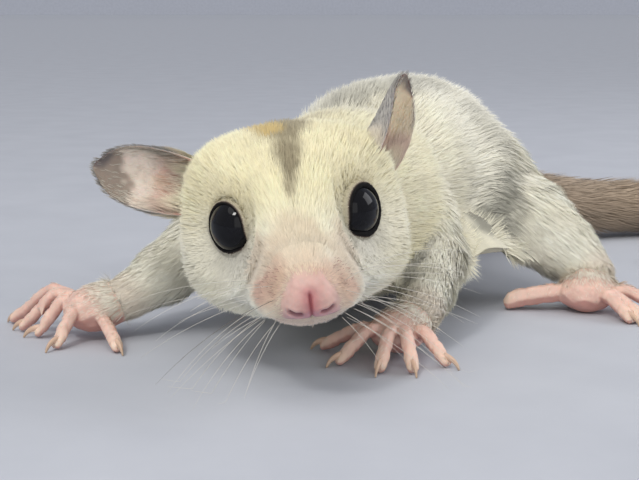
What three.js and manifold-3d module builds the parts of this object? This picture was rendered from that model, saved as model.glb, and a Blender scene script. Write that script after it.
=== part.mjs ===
// A sugar glider, life size, crouching low with its forelimbs spread and its tail curled on the floor.
// Millimetres, +Z up, nose towards -Y, the animal's own left towards +X, floor at z = 0.
// Every solid is the outer envelope of the coat, and each one is cut clear of the one it grows from.
import * as THREE from "three";
import { mergeVertices } from "three/addons/utils/BufferGeometryUtils.js";
import Module from "manifold-3d";

const wasm = await Module();
wasm.setup();
const { Manifold } = wasm;

// Driving dimensions
const GAP = 0.3;
const HEAD_AT = [-3.2, -25.5, 21.9];
const HEAD_YAW = 4.3;
const HEAD_ROLL = 6.9;
const EYE_RADIUS = 4.5;
const EYE_AT = [6.9, 2.6, 0];
const EYE_OUTWARD = 49;
const EYE_UPWARD = 7;
const EYE_FLAT_RADIUS = 15;
const EYE_FLAT_DEPTH = 2.5;
const LID_THICKNESS = 0.75;
const LID_OPEN = 52;
const LID_LAP = 7;
const LID_CORNER_AT = 215;
const LID_CORNER_REACH = 15;
const NOSE_TIP_Y = -16.2;
const EAR_LENGTH = 16.4;
const EAR_ROOT_HALF_THICKNESS = 0.5;
const EAR_TIP_HALF_THICKNESS = 0.27;
const TRUNK_YAW = -20;
const DIGIT_RADIUS = 0.92;
const CLAW_RADIUS = 0.5;
const CLAW_LENGTH = 2.3;
const BIG_TOE_RADIUS = 1.5;
const MEMBRANE_HALF_HANG = 5.4;
const MEMBRANE_HALF_THICKNESS = 1.4;
const TAIL_RADIUS = 6.6;
const TAIL_CORE = 0.55;
const LOCK_LENGTH = 15;
const LOCK_WIDTH = 5.6;
const LOCK_THICKNESS = 1.4;

const V = (x, y, z) => new THREE.Vector3(x, y, z);
const at = (list) => new THREE.Vector3(...list);
const radians = THREE.MathUtils.degToRad;
const lerp = THREE.MathUtils.lerp;

// Distance fields: each is a function of a point, negative inside.
function cone(from, to, startRadius, endRadius) {
  const a = at(from);
  const along = at(to).sub(a);
  const lengthSquared = along.lengthSq();
  return (p) => {
    const t = THREE.MathUtils.clamp(p.clone().sub(a).dot(along) / lengthSquared, 0, 1);
    const nearest = a.clone().addScaledVector(along, t);
    return p.distanceTo(nearest) - lerp(startRadius, endRadius, t);
  };
}

function ellipsoid(centre, radii, yaw = 0) {
  const c = at(centre);
  const r = at(radii);
  const up = V(0, 0, 1);
  return (p) => {
    const q = p.clone().sub(c).applyAxisAngle(up, -radians(yaw)).divide(r);
    const scaled = q.length();
    const slope = q.clone().divide(r).length();
    return slope < 1e-9 ? -Math.min(...radii) : (scaled * (scaled - 1)) / slope;
  };
}

function softMin(a, b, softness) {
  const h = Math.max(softness - Math.abs(a - b), 0) / softness;
  return Math.min(a, b) - (h * h * softness) / 4;
}

function blend(softness, ...fields) {
  return (p) => fields.map((f) => f(p)).reduce((a, b) => softMin(a, b, softness));
}

const carve = (field, cutter, softness) => (p) => -softMin(-field(p), cutter(p), softness);
const both = (make) => [make(1), make(-1)];

// Where a ray from inside a field first leaves it, at most reach away.
function surfacePoint(field, from, direction, reach, level = 0) {
  const steps = 40;
  let inside = 0;
  let outside = reach;
  for (let i = 1; i <= steps; i++) {
    const r = (reach * i) / steps;
    if (field(from.clone().addScaledVector(direction, r)) > level) {
      outside = r;
      break;
    }
    inside = r;
  }
  for (let i = 0; i < 12 && inside < outside; i++) {
    const middle = (inside + outside) / 2;
    if (field(from.clone().addScaledVector(direction, middle)) > level) {
      outside = middle;
    } else {
      inside = middle;
    }
  }
  return from.clone().addScaledVector(direction, inside);
}

// One closed surface through a row of rings, with a point at each end, or joined end to end.
function ringSurface(rings, { first, last, loop = false } = {}) {
  const sides = rings[0].length;
  const points = rings.flat();
  const index = [];
  const spans = loop ? rings.length : rings.length - 1;
  for (let i = 0; i < spans; i++) {
    const here = i * sides;
    const next = ((i + 1) % rings.length) * sides;
    for (let j = 0; j < sides; j++) {
      const k = (j + 1) % sides;
      index.push(here + j, here + k, next + j, here + k, next + k, next + j);
    }
  }
  if (!loop) {
    const mean = (ring) => ring.reduce((sum, p) => sum.add(p), V(0, 0, 0)).divideScalar(sides);
    points.push(first ?? mean(rings[0]), last ?? mean(rings.at(-1)));
    const end = (rings.length - 1) * sides;
    for (let j = 0; j < sides; j++) {
      const k = (j + 1) % sides;
      index.push(points.length - 2, k, j, points.length - 1, end + j, end + k);
    }
  }
  return new THREE.BufferGeometry().setFromPoints(points).setIndex(index);
}

// The directions across a curve, from its direction and a rough up.
function crossAxes(tangent, up) {
  const side = up.clone().cross(tangent).normalize();
  const top = tangent.clone().cross(side).normalize();
  return { side, top };
}

function around({ side, top }, angle) {
  return side.clone().multiplyScalar(Math.cos(angle)).addScaledVector(top, Math.sin(angle));
}

const curve = (points) => new THREE.CatmullRomCurve3(points.map(at), false, "centripetal");

// A field's surface, as rings round a path that runs inside it, with a dome past each end of the path.
function loft(field, points, { rings, sides, reach, domes = 4, level = 0, up = V(0, 0, 1) }) {
  const path = curve(points);
  const made = [];
  const ringAt = (t, lean) => {
    const centre = path.getPointAt(t);
    const tangent = path.getTangentAt(t);
    const axes = crossAxes(tangent, up);
    return Array.from({ length: sides }, (_, j) => {
      const out = around(axes, (2 * Math.PI * j) / sides).multiplyScalar(Math.cos(lean));
      out.addScaledVector(tangent, Math.sin(lean));
      return surfacePoint(field, centre, out, reach, level);
    });
  };
  const quarter = Math.PI / 2;
  for (let i = domes; i > 0; i--) made.push(ringAt(0, (-quarter * i) / (domes + 1)));
  for (let i = 0; i < rings; i++) made.push(ringAt(i / (rings - 1), 0));
  for (let i = 1; i <= domes; i++) made.push(ringAt(1, (quarter * i) / (domes + 1)));
  const pole = (t, sign) =>
    surfacePoint(field, path.getPointAt(t), path.getTangentAt(t).multiplyScalar(sign), reach, level);
  return ringSurface(made, { first: pole(0, -1), last: pole(1, 1) });
}

// A round tube along points, with a radius given by a function of the share of its length.
function tube(points, radius, { rings, sides, from = 0, to = 1, up = V(0, 0, 1) }) {
  const path = curve(points);
  const made = Array.from({ length: rings }, (_, i) => {
    const t = lerp(from, to, i / (rings - 1));
    const axes = crossAxes(path.getTangentAt(t), up);
    const centre = path.getPointAt(t);
    return Array.from({ length: sides }, (_, j) =>
      centre.clone().addScaledVector(around(axes, (2 * Math.PI * j) / sides), radius(t)),
    );
  });
  return ringSurface(made);
}

// Solids
function solid(geometry, matrix = new THREE.Matrix4()) {
  const bare = new THREE.BufferGeometry();
  bare.setAttribute("position", geometry.getAttribute("position").clone());
  if (geometry.index) bare.setIndex(geometry.index.clone());
  const merged = mergeVertices(bare.applyMatrix4(matrix), 1e-4);
  const triVerts = new Uint32Array(merged.index.array);
  const vertProperties = merged.attributes.position.array;
  const make = () => new Manifold(new wasm.Mesh({ numProp: 3, vertProperties, triVerts }));
  const made = make();
  if (made.volume() > 0) return made;
  for (let i = 0; i < triVerts.length; i += 3) {
    [triVerts[i + 1], triVerts[i + 2]] = [triVerts[i + 2], triVerts[i + 1]];
  }
  return make();
}

const join = (...parts) => parts.reduce((a, b) => a.add(b));

function geometryOf(body) {
  const largest = body.decompose().reduce((a, b) => (b.volume() > a.volume() ? b : a));
  const { vertProperties, triVerts } = largest.getMesh();
  const geometry = new THREE.BufferGeometry();
  geometry.setAttribute("position", new THREE.BufferAttribute(new Float32Array(vertProperties), 3));
  geometry.setIndex(new THREE.BufferAttribute(new Uint32Array(triVerts), 1));
  geometry.computeVertexNormals();
  return geometry;
}

const FUR = new THREE.MeshStandardMaterial({ color: 0xe6e0c6, roughness: 0.9 });
const SKIN = new THREE.MeshStandardMaterial({ color: 0xe2a99b, roughness: 0.55 });
const EYE = new THREE.MeshStandardMaterial({ color: 0x0b0b0e, roughness: 0.08 });

function node(name, body, material) {
  const mesh = new THREE.Mesh(geometryOf(body), material);
  mesh.name = name;
  return mesh;
}

const FLOOR_SIZE = 600;
const floorBlock = solid(
  new THREE.BoxGeometry(FLOOR_SIZE, FLOOR_SIZE, FLOOR_SIZE).translate(0, 0, -FLOOR_SIZE / 2),
);
const clearOfFloor = (body) => body.subtract(floorBlock);

// Head, in its own frame: origin midway between the eyes, nose towards -Y
const headGroup = new THREE.Group();
headGroup.position.copy(at(HEAD_AT));
headGroup.rotation.set(0, -radians(HEAD_ROLL), radians(HEAD_YAW), "ZYX");
headGroup.updateMatrixWorld(true);
const headMatrix = headGroup.matrixWorld.clone();

const skull = blend(
  5,
  ellipsoid([0, 10, 1], [13.8, 15, 11.6]),
  ...both((side) => ellipsoid([side * 8.6, 10, 4.6], [5.4, 7.5, 5.6])),
  ...both((side) => ellipsoid([side * 8.8, 8, -4.8], [7.2, 10.5, 7.2])),
  cone([0, 2, -1.5], [0, -8.2, -6.4], 9.4, 5.8),
);
const muzzle = blend(
  1.6,
  cone([0, -7, -6.2], [0, -12.6, -7.5], 5.8, 3.5),
  ...both((side) => ellipsoid([side * 3.1, -9.6, -8.5], [3.3, 4.6, 2.8])),
  ellipsoid([0, -13.5, -7.5], [3.5, 2.7, 2.5]),
  ellipsoid([0, -7.4, -9.9], [3.6, 5.8, 2]),
);
const jowls = blend(3, ...both((side) => cone([side * 7, 5, -6.4], [side * 2.6, -7, -8.2], 6.6, 4.1)));
const headField = carve(blend(3, skull, jowls, muzzle), blend(0.1, ...both(eyeFlat)), 2);
const HEAD_PATH = [
  [0, 9, -0.5],
  [0, -1, -2],
  [0, -7.6, -6],
  [0, -13, -7.7],
];
const HEAD_LOFT = { rings: 18, sides: 36, reach: 24, domes: 4 };

// The flat round each eye, from the side of the snout back to the cheek
function eyeFlat(side) {
  const [x, y, z] = EYE_AT;
  const centre = V(side * x, y, z).addScaledVector(eyeAxis(side), EYE_FLAT_RADIUS + EYE_FLAT_DEPTH);
  return ellipsoid(centre.toArray(), [EYE_FLAT_RADIUS, EYE_FLAT_RADIUS, EYE_FLAT_RADIUS]);
}

function eyeAxis(side) {
  const outward = radians(EYE_OUTWARD);
  const upward = radians(EYE_UPWARD);
  const level = Math.cos(upward);
  return V(side * Math.sin(outward) * level, -Math.cos(outward) * level, Math.sin(upward));
}

function eyeball(side, radius) {
  const [x, y, z] = EYE_AT;
  const ball = new THREE.SphereGeometry(radius, 14, 9);
  ball.applyQuaternion(new THREE.Quaternion().setFromUnitVectors(V(0, 1, 0), eyeAxis(side)));
  return solid(ball.translate(side * x, y, z));
}

// A point over the edge of the lids, which draw out to a corner low towards the nose.
function overLid(side, turn, openAngle, distance, cornerAngle = LID_CORNER_REACH) {
  const cornerAt = radians(LID_CORNER_AT);
  const cornerWidth = 0.42;
  const axis = eyeAxis(side);
  const { side: across, top } = crossAxes(axis, V(0, 0, 1));
  const offCorner = Math.atan2(Math.sin(turn - cornerAt), Math.cos(turn - cornerAt));
  const lean = radians(openAngle + cornerAngle * Math.exp(-((offCorner / cornerWidth) ** 2)));
  const out = around({ side: across.multiplyScalar(side), top }, turn).multiplyScalar(Math.sin(lean));
  const [x, y, z] = EYE_AT;
  return V(side * x, y, z).addScaledVector(out.addScaledVector(axis, Math.cos(lean)), distance);
}

const LID_SIDES = 20;
const lidTurns = Array.from({ length: LID_SIDES }, (_, j) => (2 * Math.PI * j) / LID_SIDES);

function lidOpening(side) {
  const flare = [
    { distance: 2.2, angle: LID_OPEN, corner: LID_CORNER_REACH },
    { distance: 5.4, angle: LID_OPEN, corner: LID_CORNER_REACH },
    { distance: 12, angle: LID_OPEN - 14, corner: 0 },
  ];
  const rings = flare.map(({ distance, angle, corner }) =>
    lidTurns.map((turn) => overLid(side, turn, angle, distance, corner)),
  );
  return solid(ringSurface(rings));
}

function lids(side) {
  const corners = 5;
  const step = 0.05;
  const angle = LID_OPEN + LID_LAP;
  const [x, y, z] = EYE_AT;
  const ball = V(side * x, y, z);
  const rings = lidTurns.map((turn) => {
    const centre = overLid(side, turn, angle, EYE_RADIUS + GAP + LID_THICKNESS / 2);
    const outward = centre.clone().sub(ball).normalize();
    const before = overLid(side, turn - step, angle, EYE_RADIUS);
    const after = overLid(side, turn + step, angle, EYE_RADIUS);
    const across = outward.clone().cross(after.sub(before).normalize());
    return Array.from({ length: corners }, (_, k) => {
      const round = (2 * Math.PI * k) / corners;
      return centre
        .clone()
        .addScaledVector(outward, LID_THICKNESS * Math.cos(round))
        .addScaledVector(across, 1.3 * LID_THICKNESS * Math.sin(round));
    });
  });
  return solid(ringSurface(rings, { loop: true }));
}

// Nostrils, the groove between them and the line of the mouth, as cutters
const NOSTRIL_RADIUS = 0.5;
const GROOVE_RADIUS = 0.22;
const MOUTH_HALF_WIDTH = 0.36;

function nostril(side) {
  const points = [
    [side * 1.1, NOSE_TIP_Y - 0.4, -8.8],
    [side * 2, NOSE_TIP_Y + 0.5, -8.9],
    [side * 2.8, NOSE_TIP_Y + 1.7, -8.2],
  ];
  const radius = (t) => NOSTRIL_RADIUS * lerp(0.68, 1, Math.sin(Math.PI * t));
  return solid(tube(points, radius, { rings: 5, sides: 7 }));
}

function onHead(from, direction, depth = 0) {
  const start = at(from);
  const unit = at(direction).normalize();
  return surfacePoint(headField, start, unit, 24).addScaledVector(unit, -depth).toArray();
}

function mouthLine() {
  const corner = { y: -6.4, spread: 62 };
  const steps = 6;
  const points = [];
  for (let i = -steps; i <= steps; i++) {
    const share = Math.abs(i) / steps;
    const y = lerp(-13, corner.y, share ** 1.4);
    const spread = radians(lerp(4, corner.spread, Math.sqrt(share))) * Math.sign(i);
    const forward = lerp(-0.75, 0, Math.min(1, 2 * share));
    points.push(onHead([0, y, -8.6], [Math.sin(spread), forward, -Math.cos(spread)], 0.1));
  }
  const width = (t) => lerp(GROOVE_RADIUS, MOUTH_HALF_WIDTH, Math.sin(Math.PI * t));
  return solid(tube(points, width, { rings: 15, sides: 5, up: V(0, 1, 0.3) }));
}

function philtrum() {
  const points = [0.1, 0.45, 0.8].map((fall) =>
    onHead([0, -12.4, -7.6], [0, -Math.cos(fall), -Math.sin(fall)]),
  );
  return solid(tube(points, () => GROOVE_RADIUS, { rings: 5, sides: 5, up: V(1, 0, 0) }));
}

const ENVELOPE = { rings: 10, sides: 20, domes: 3, level: 2 * GAP };
const headEnvelope = solid(loft(headField, HEAD_PATH, { ...HEAD_LOFT, ...ENVELOPE }));
let headSolid = join(solid(loft(headField, HEAD_PATH, HEAD_LOFT)), ...both(lids));
for (const cutter of [
  ...both(lidOpening),
  ...both((side) => eyeball(side, EYE_RADIUS + GAP)),
  ...both(nostril),
  mouthLine(),
  philtrum(),
]) {
  headSolid = headSolid.subtract(cutter);
}
headGroup.add(node("head", headSolid, FUR));
headGroup.add(node("eye_left", eyeball(1, EYE_RADIUS), EYE));
headGroup.add(node("eye_right", eyeball(-1, EYE_RADIUS), EYE));

// Ears: a leaf rolled into a trumpet at its root and opening out to a rounded tip
function ear({ root, tip, faces, curl, breadth }, swell = 0) {
  const widestAt = 0.42;
  const rootDepth = 4.4;
  const tipCurl = 0.13;
  const from = at(root);
  const axis = at(tip).sub(from).normalize();
  const mouth = at(faces);
  mouth.addScaledVector(axis, -mouth.dot(axis)).normalize();
  const across = axis.clone().cross(mouth);
  const columns = 9;
  const rows = 10;
  const leaf = (u, v) => {
    const halfArc = breadth * Math.sqrt(1 - ((v - widestAt) / 0.6) ** 2);
    const roll = lerp(curl, tipCurl, v);
    const angle = halfArc * u * roll;
    const depth = rootDepth * (1 - v) ** 0.7;
    return from
      .clone()
      .addScaledVector(axis, EAR_LENGTH * v * (1 - 0.06 * u * u))
      .addScaledVector(across, Math.sin(angle) / roll)
      .addScaledVector(mouth, (1 - Math.cos(angle)) / roll - depth);
  };
  const normal = (u, v) => {
    const e = 0.01;
    const du = leaf(u + e, v).sub(leaf(u - e, v));
    const dv = leaf(u, Math.min(v + e, 1)).sub(leaf(u, Math.max(v - e, 0)));
    return dv.cross(du).normalize();
  };
  // Each ring runs up the inner face and back down the outer one, so both faces split alike.
  const rings = Array.from({ length: rows }, (_, i) => {
    const v = i / (rows - 1);
    const half = lerp(EAR_ROOT_HALF_THICKNESS, EAR_TIP_HALF_THICKNESS, v) + swell;
    const face = (sign) =>
      Array.from({ length: columns + 1 }, (_, j) => {
        const u = lerp(-1, 1, j / columns);
        return leaf(u, v).addScaledVector(normal(u, v), sign * half);
      });
    return [...face(1), ...face(-1).reverse()];
  });
  return solid(ringSurface(rings));
}

const EAR_LEFT = {
  root: [13.3, 10, 1.4],
  tip: [18.6, 12.6, 16.7],
  faces: [0.92, -0.4, 0],
  curl: 0.2,
  breadth: 7,
};
const EAR_RIGHT = {
  root: [-11.6, 9.6, 3.9],
  tip: [-28, 12.4, 9.8],
  faces: [-0.1, -0.97, 0.1],
  curl: 0.24,
  breadth: 5.3,
};
headGroup.add(node("ear_left", ear(EAR_LEFT).subtract(headEnvelope), SKIN));
headGroup.add(node("ear_right", ear(EAR_RIGHT).subtract(headEnvelope), SKIN));

// Trunk: chest, loins and rump in one, with the neck as a collar between it and the head
const torsoField = blend(
  7,
  ellipsoid([4, 9, 18.4], [14.4, 16, 14.6], TRUNK_YAW),
  ellipsoid([10, 29, 20.2], [17.2, 20, 17.4], TRUNK_YAW),
  ellipsoid([16.5, 43, 20.4], [18.4, 17, 17.6], TRUNK_YAW),
  cone([19, 48, 17.5], [27.5, 59.5, 14], 10, 6.8),
);
const TORSO_PATH = [
  [3, 6, 18.2],
  [7, 20, 19],
  [12, 33, 19.5],
  [18, 46, 18],
  [25, 56, 15],
];
const TORSO_LOFT = { rings: 13, sides: 24, reach: 34, domes: 4 };
const headInWorld = solid(loft(headField, HEAD_PATH, { ...HEAD_LOFT, ...ENVELOPE }), headMatrix);
const torso = clearOfFloor(solid(loft(torsoField, TORSO_PATH, TORSO_LOFT)).subtract(headInWorld));
const torsoEnvelope = solid(loft(torsoField, TORSO_PATH, { ...TORSO_LOFT, ...ENVELOPE }));

const neckField = blend(6, cone([-3, -13, 20.5], [4, 10, 19.4], 12.6, 14), torsoField);
const NECK_PATH = [
  [-3, -15, 20.5],
  [-1, -6, 20.2],
  [3, 6, 19.5],
];
const NECK_LOFT = { rings: 6, sides: 18, reach: 18, domes: 2 };
const earInWorld = ear(EAR_LEFT, GAP).transform(headMatrix.elements);
const neck = solid(loft(neckField, NECK_PATH, NECK_LOFT))
  .subtract(headInWorld)
  .subtract(torsoEnvelope)
  .subtract(earInWorld);
const neckEnvelope = solid(loft(neckField, NECK_PATH, { ...NECK_LOFT, level: 1.6 * GAP }));

// Limbs: each segment flares where it leaves the one before it, and is cut clear of it
function segment(points, radii, { root, softness, level = 0 }) {
  const rings = 6;
  const sides = 12;
  const domes = 3;
  const cones = points.slice(1).map((to, i) => cone(points[i], to, radii[i], radii[i + 1]));
  const field = blend(softness, ...cones, root);
  const geometry = loft(field, points, { rings, sides, reach: Math.max(...radii) * 1.5, domes, level });
  return { field: blend(softness, ...cones), body: solid(geometry) };
}

function limb({ upper, lower, rootField, clearOf }) {
  const upperField = { root: rootField, softness: 4 };
  const top = segment(upper.points, upper.radii, upperField);
  const topEnvelope = segment(upper.points, upper.radii, { ...upperField, level: GAP }).body;
  const lowerField = { root: top.field, softness: 3 };
  const bottom = segment(lower.points, lower.radii, lowerField);
  const bottomEnvelope = segment(lower.points, lower.radii, { ...lowerField, level: GAP }).body;
  let upperBody = top.body;
  let lowerBody = bottom.body.subtract(topEnvelope);
  for (const other of clearOf) {
    upperBody = upperBody.subtract(other);
    lowerBody = lowerBody.subtract(other);
  }
  return {
    upper: clearOfFloor(upperBody),
    lower: clearOfFloor(lowerBody),
    envelopes: [topEnvelope, bottomEnvelope],
  };
}

const ARM_LEFT = {
  upper: { points: [[8, 12, 19], [14, 9, 15.5], [17.4, 4, 11.4]], radii: [8, 7.4, 5.8] },
  lower: { points: [[17.4, 4, 11.4], [16.4, -3, 8.4], [15, -9.5, 6]], radii: [5.2, 4.3, 3.5] },
};
const ARM_RIGHT = {
  upper: { points: [[-4, 12, 19], [-11, 11, 17], [-17, 8, 14.4]], radii: [8, 7.2, 5.8] },
  lower: { points: [[-17, 8, 14.4], [-23, 3, 9.8], [-29, -1.5, 6.4]], radii: [5.4, 4.6, 3.6] },
};
const LEG_LEFT = {
  upper: { points: [[19, 42, 20], [27, 36, 19], [35, 28, 14.5]], radii: [12, 10.4, 7.6] },
  lower: { points: [[35, 28, 14.5], [41, 24, 10], [45.8, 19.5, 6.4]], radii: [7.2, 5.6, 3.8] },
};
const LEG_RIGHT = {
  upper: { points: [[10, 44, 20], [0, 40, 18], [-6, 34, 13]], radii: [12, 10.5, 7.6] },
  lower: { points: [[-6, 34, 13], [-7, 41, 9], [-6, 48, 5.4]], radii: [7, 5.4, 3.6] },
};

const aboveArms = [torsoEnvelope, neckEnvelope, headInWorld];
const armLeft = limb({ ...ARM_LEFT, rootField: torsoField, clearOf: aboveArms });
const armRight = limb({ ...ARM_RIGHT, rootField: torsoField, clearOf: aboveArms });
const legLeft = limb({ ...LEG_LEFT, rootField: torsoField, clearOf: [torsoEnvelope] });
const legRight = limb({
  ...LEG_RIGHT,
  rootField: torsoField,
  clearOf: [torsoEnvelope, ...armRight.envelopes],
});

// The gliding membrane, slack at rest: a scalloped fold along the flank from the elbow to the knee
function membrane(points, outward, clearOf) {
  const path = curve(points);
  const stations = 10;
  const sides = 10;
  const waveHeight = 0.9;
  const waveTurns = 9;
  const rings = Array.from({ length: stations }, (_, i) => {
    const t = i / (stations - 1);
    const centre = path.getPointAt(t);
    const tangent = path.getTangentAt(t);
    const wave = waveHeight * Math.sin(waveTurns * t);
    const side = at(outward).cross(tangent).normalize();
    const hang = tangent.clone().cross(side).normalize();
    return Array.from({ length: sides }, (_, j) => {
      const angle = (2 * Math.PI * j) / sides;
      return centre
        .clone()
        .addScaledVector(hang, (MEMBRANE_HALF_HANG + wave) * Math.cos(angle))
        .addScaledVector(side, MEMBRANE_HALF_THICKNESS * Math.sin(angle) + wave);
    });
  });
  return clearOf.reduce((body, other) => body.subtract(other), solid(ringSurface(rings)));
}

const MEMBRANE_LEFT = [[17, 8, 12.4], [23.5, 14, 12.2], [29.5, 20, 12.4], [35, 27, 13]];
const MEMBRANE_RIGHT = [[-14, 12, 14], [-13.5, 19, 12.6], [-11.5, 26, 12.2], [-7, 33, 12]];
const membraneLeft = membrane(MEMBRANE_LEFT, [0.5, -0.3, -0.8], [
  torsoEnvelope,
  neckEnvelope,
  ...armLeft.envelopes,
  ...legLeft.envelopes,
]);
const membraneRight = membrane(MEMBRANE_RIGHT, [-0.6, 0, -0.8], [
  torsoEnvelope,
  neckEnvelope,
  ...armRight.envelopes,
  ...legRight.envelopes,
]);

// Hands and feet: a padded sole with arched digits fanned round it, each but the big toe with a claw
function claw(from, heading, length) {
  const fall = [0, 0.45, 1];
  const points = fall.map((t) =>
    from
      .clone()
      .addScaledVector(heading, length * Math.sin((t * Math.PI) / 2.4))
      .add(V(0, 0, -0.9 * length * t * t))
      .toArray(),
  );
  return solid(tube(points, (t) => lerp(CLAW_RADIUS, 0.12, t), { rings: 3, sides: 4 }));
}

function digit(centre, { tip, arch, radius = DIGIT_RADIUS, clawed = true }) {
  const end = V(tip[0], tip[1], 0);
  const level = V(centre.x, centre.y, 0);
  const heading = end.clone().sub(level).normalize();
  const pointAt = (share, height) => level.clone().lerp(end, share).setZ(height).toArray();
  const points = [
    pointAt(0.1, centre.z),
    pointAt(0.42, arch),
    pointAt(0.7, lerp(radius, arch, 0.55)),
    pointAt(0.92, radius * 1.15),
    pointAt(1, radius * 0.8),
  ];
  const padAt = 0.9;
  const thickness = (t) => radius * (1.12 - 0.16 * t + 0.2 * Math.exp(-(((t - padAt) / 0.08) ** 2)));
  const finger = solid(tube(points, thickness, { rings: 6, sides: 6 }));
  if (!clawed) return finger;
  const nailBed = V(...pointAt(0.93, radius * 1.9));
  return finger.add(claw(nailBed, heading, CLAW_LENGTH));
}

function paw({ sole, radii, heading, digits, wrist, clearOf }) {
  const centre = at(sole);
  const heel = cone(wrist.at, sole, wrist.radius, wrist.radius);
  const palmField = blend(2.5, ellipsoid(sole, radii, heading), heel);
  const back = at(wrist.at).sub(centre).multiplyScalar(0.9).add(centre).toArray();
  const palmLoft = { rings: 4, sides: 12, reach: 9, domes: 2 };
  let body = solid(loft(palmField, [back, sole], palmLoft));
  for (const one of digits) body = body.add(digit(centre, one));
  for (const other of clearOf) body = body.subtract(other);
  return clearOfFloor(body);
}

const handLeft = paw({
  sole: [11.4, -14, 3.9],
  radii: [4.4, 3.8, 2.4],
  heading: 4,
  digits: [
    { tip: [0.2, -10.5], arch: 4 },
    { tip: [2.4, -19.4], arch: 4.8 },
    { tip: [8.2, -23.6], arch: 5 },
    { tip: [13, -23.9], arch: 5 },
    { tip: [18.2, -20.4], arch: 4.8 },
  ],
  wrist: { at: ARM_LEFT.lower.points[2], radius: 2.9 },
  clearOf: [armLeft.envelopes[1], headInWorld],
});
const handRight = paw({
  sole: [-34.5, -3, 4.6],
  radii: [4.2, 4.8, 3],
  heading: -70,
  digits: [
    { tip: [-29.4, -12.4], arch: 3.6 },
    { tip: [-39.2, -10.6], arch: 5.4 },
    { tip: [-43.6, -3], arch: 6.4 },
    { tip: [-46.8, 1.2], arch: 7 },
    { tip: [-49.4, 6.6], arch: 7 },
  ],
  wrist: { at: ARM_RIGHT.lower.points[2], radius: 3 },
  clearOf: [armRight.envelopes[1]],
});
const footLeft = paw({
  sole: [44.6, 15, 3.2],
  radii: [4, 5.8, 2.5],
  heading: 84,
  digits: [
    { tip: [31, 16.6], arch: 3, radius: BIG_TOE_RADIUS, clawed: false },
    { tip: [50, 5.4], arch: 3.6 },
    { tip: [52.4, 6.4], arch: 3.6 },
    { tip: [57.6, 10.2], arch: 4 },
    { tip: [57.2, 16], arch: 3.8 },
  ],
  wrist: { at: LEG_LEFT.lower.points[2], radius: 2.9 },
  clearOf: [legLeft.envelopes[1]],
});
const footRight = paw({
  sole: [-9, 40, 3],
  radii: [4, 5.4, 2.4],
  heading: -12,
  digits: [
    { tip: [1.6, 31.5], arch: 2.8, radius: BIG_TOE_RADIUS, clawed: false },
    { tip: [-8, 29.6], arch: 3.4 },
    { tip: [-10.4, 28.8], arch: 3.4 },
    { tip: [-14.8, 28.2], arch: 3.8 },
    { tip: [-18.6, 32], arch: 3.6 },
  ],
  wrist: { at: LEG_RIGHT.lower.points[2], radius: 2.8 },
  clearOf: [...legRight.envelopes, ...armRight.envelopes],
});

// Tail: three lengths along one curve that lies on the floor and comes round with its tip to the front,
// each a core with overlapping locks of hair round it, whose tips lie in cuts in the next length
const TAIL_POINTS = [
  [24, 56, 14.5],
  [40, 73, 11],
  [58, 86, 7.4],
  [82, 91, TAIL_RADIUS - 0.2],
  [101, 82, TAIL_RADIUS - 0.2],
  [104, 64, TAIL_RADIUS - 0.4],
  [93, 52, TAIL_RADIUS - 1],
  [76, 56, 3.4],
];
const TAIL_LENGTHS = 3;
const LOCK_ROWS = 12;
const LOCKS_AROUND = 5;
const tailCurve = curve(TAIL_POINTS);
const tailLength = tailCurve.getLength();

function tailRadius(t) {
  const root = Math.min(1, 0.86 + 1.6 * t);
  const tip = 1 - 0.5 * Math.max(0, (t - 0.8) / 0.2) ** 2;
  return TAIL_RADIUS * root * tip;
}

// One lock, as three corners at each section; the sines scatter its place, its turn and its length.
function lock(row, place, swell = 0) {
  const start = (row + 0.25) / LOCK_ROWS;
  const scatter = 0.5 * Math.sin(7 * row + place);
  const angle = (2 * Math.PI * (place + (row % 2) / 2)) / LOCKS_AROUND + scatter;
  const reach = (LOCK_LENGTH * (0.9 + 0.2 * Math.sin(5 * row + 3 * place)) + swell) / tailLength;
  const sectionAt = (s) => {
    const t = start + reach * s;
    const share = Math.min(t, 1);
    const tangent = tailCurve.getTangentAt(share);
    const axes = crossAxes(tangent, V(0, 0, 1));
    const turn = angle + 0.3 * s * Math.sin(3 * row + place);
    const pastEnd = t > 1 ? 1 - 0.6 * s : 1;
    const height = tailRadius(share) * lerp(0.8 * TAIL_CORE, 1, s ** 0.7) * pastEnd;
    const centre = tailCurve.getPointAt(share).addScaledVector(tangent, (t - share) * tailLength);
    const out = around(axes, turn);
    return { centre: centre.addScaledVector(out, height), out, across: around(axes, turn + Math.PI / 2) };
  };
  const sections = [
    { share: 0, width: 0.7, thickness: 1 },
    { share: 0.3, width: 1, thickness: 1 },
    { share: 0.6, width: 0.86, thickness: 0.8 },
    { share: 0.85, width: 0.48, thickness: 0.6 },
  ];
  const corners = [
    [1, -1],
    [0, 1],
    [-1, -1],
  ];
  const rings = sections.map(({ share, width, thickness }) => {
    const { centre, out, across } = sectionAt(share);
    const half = (LOCK_WIDTH * width) / 2 + swell;
    const thick = (LOCK_THICKNESS * thickness) / 2 + swell;
    return corners.map(([u, v]) =>
      centre.clone().addScaledVector(across, u * half).addScaledVector(out, v * thick),
    );
  });
  return solid(ringSurface(rings, { last: sectionAt(1).centre }));
}

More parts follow.
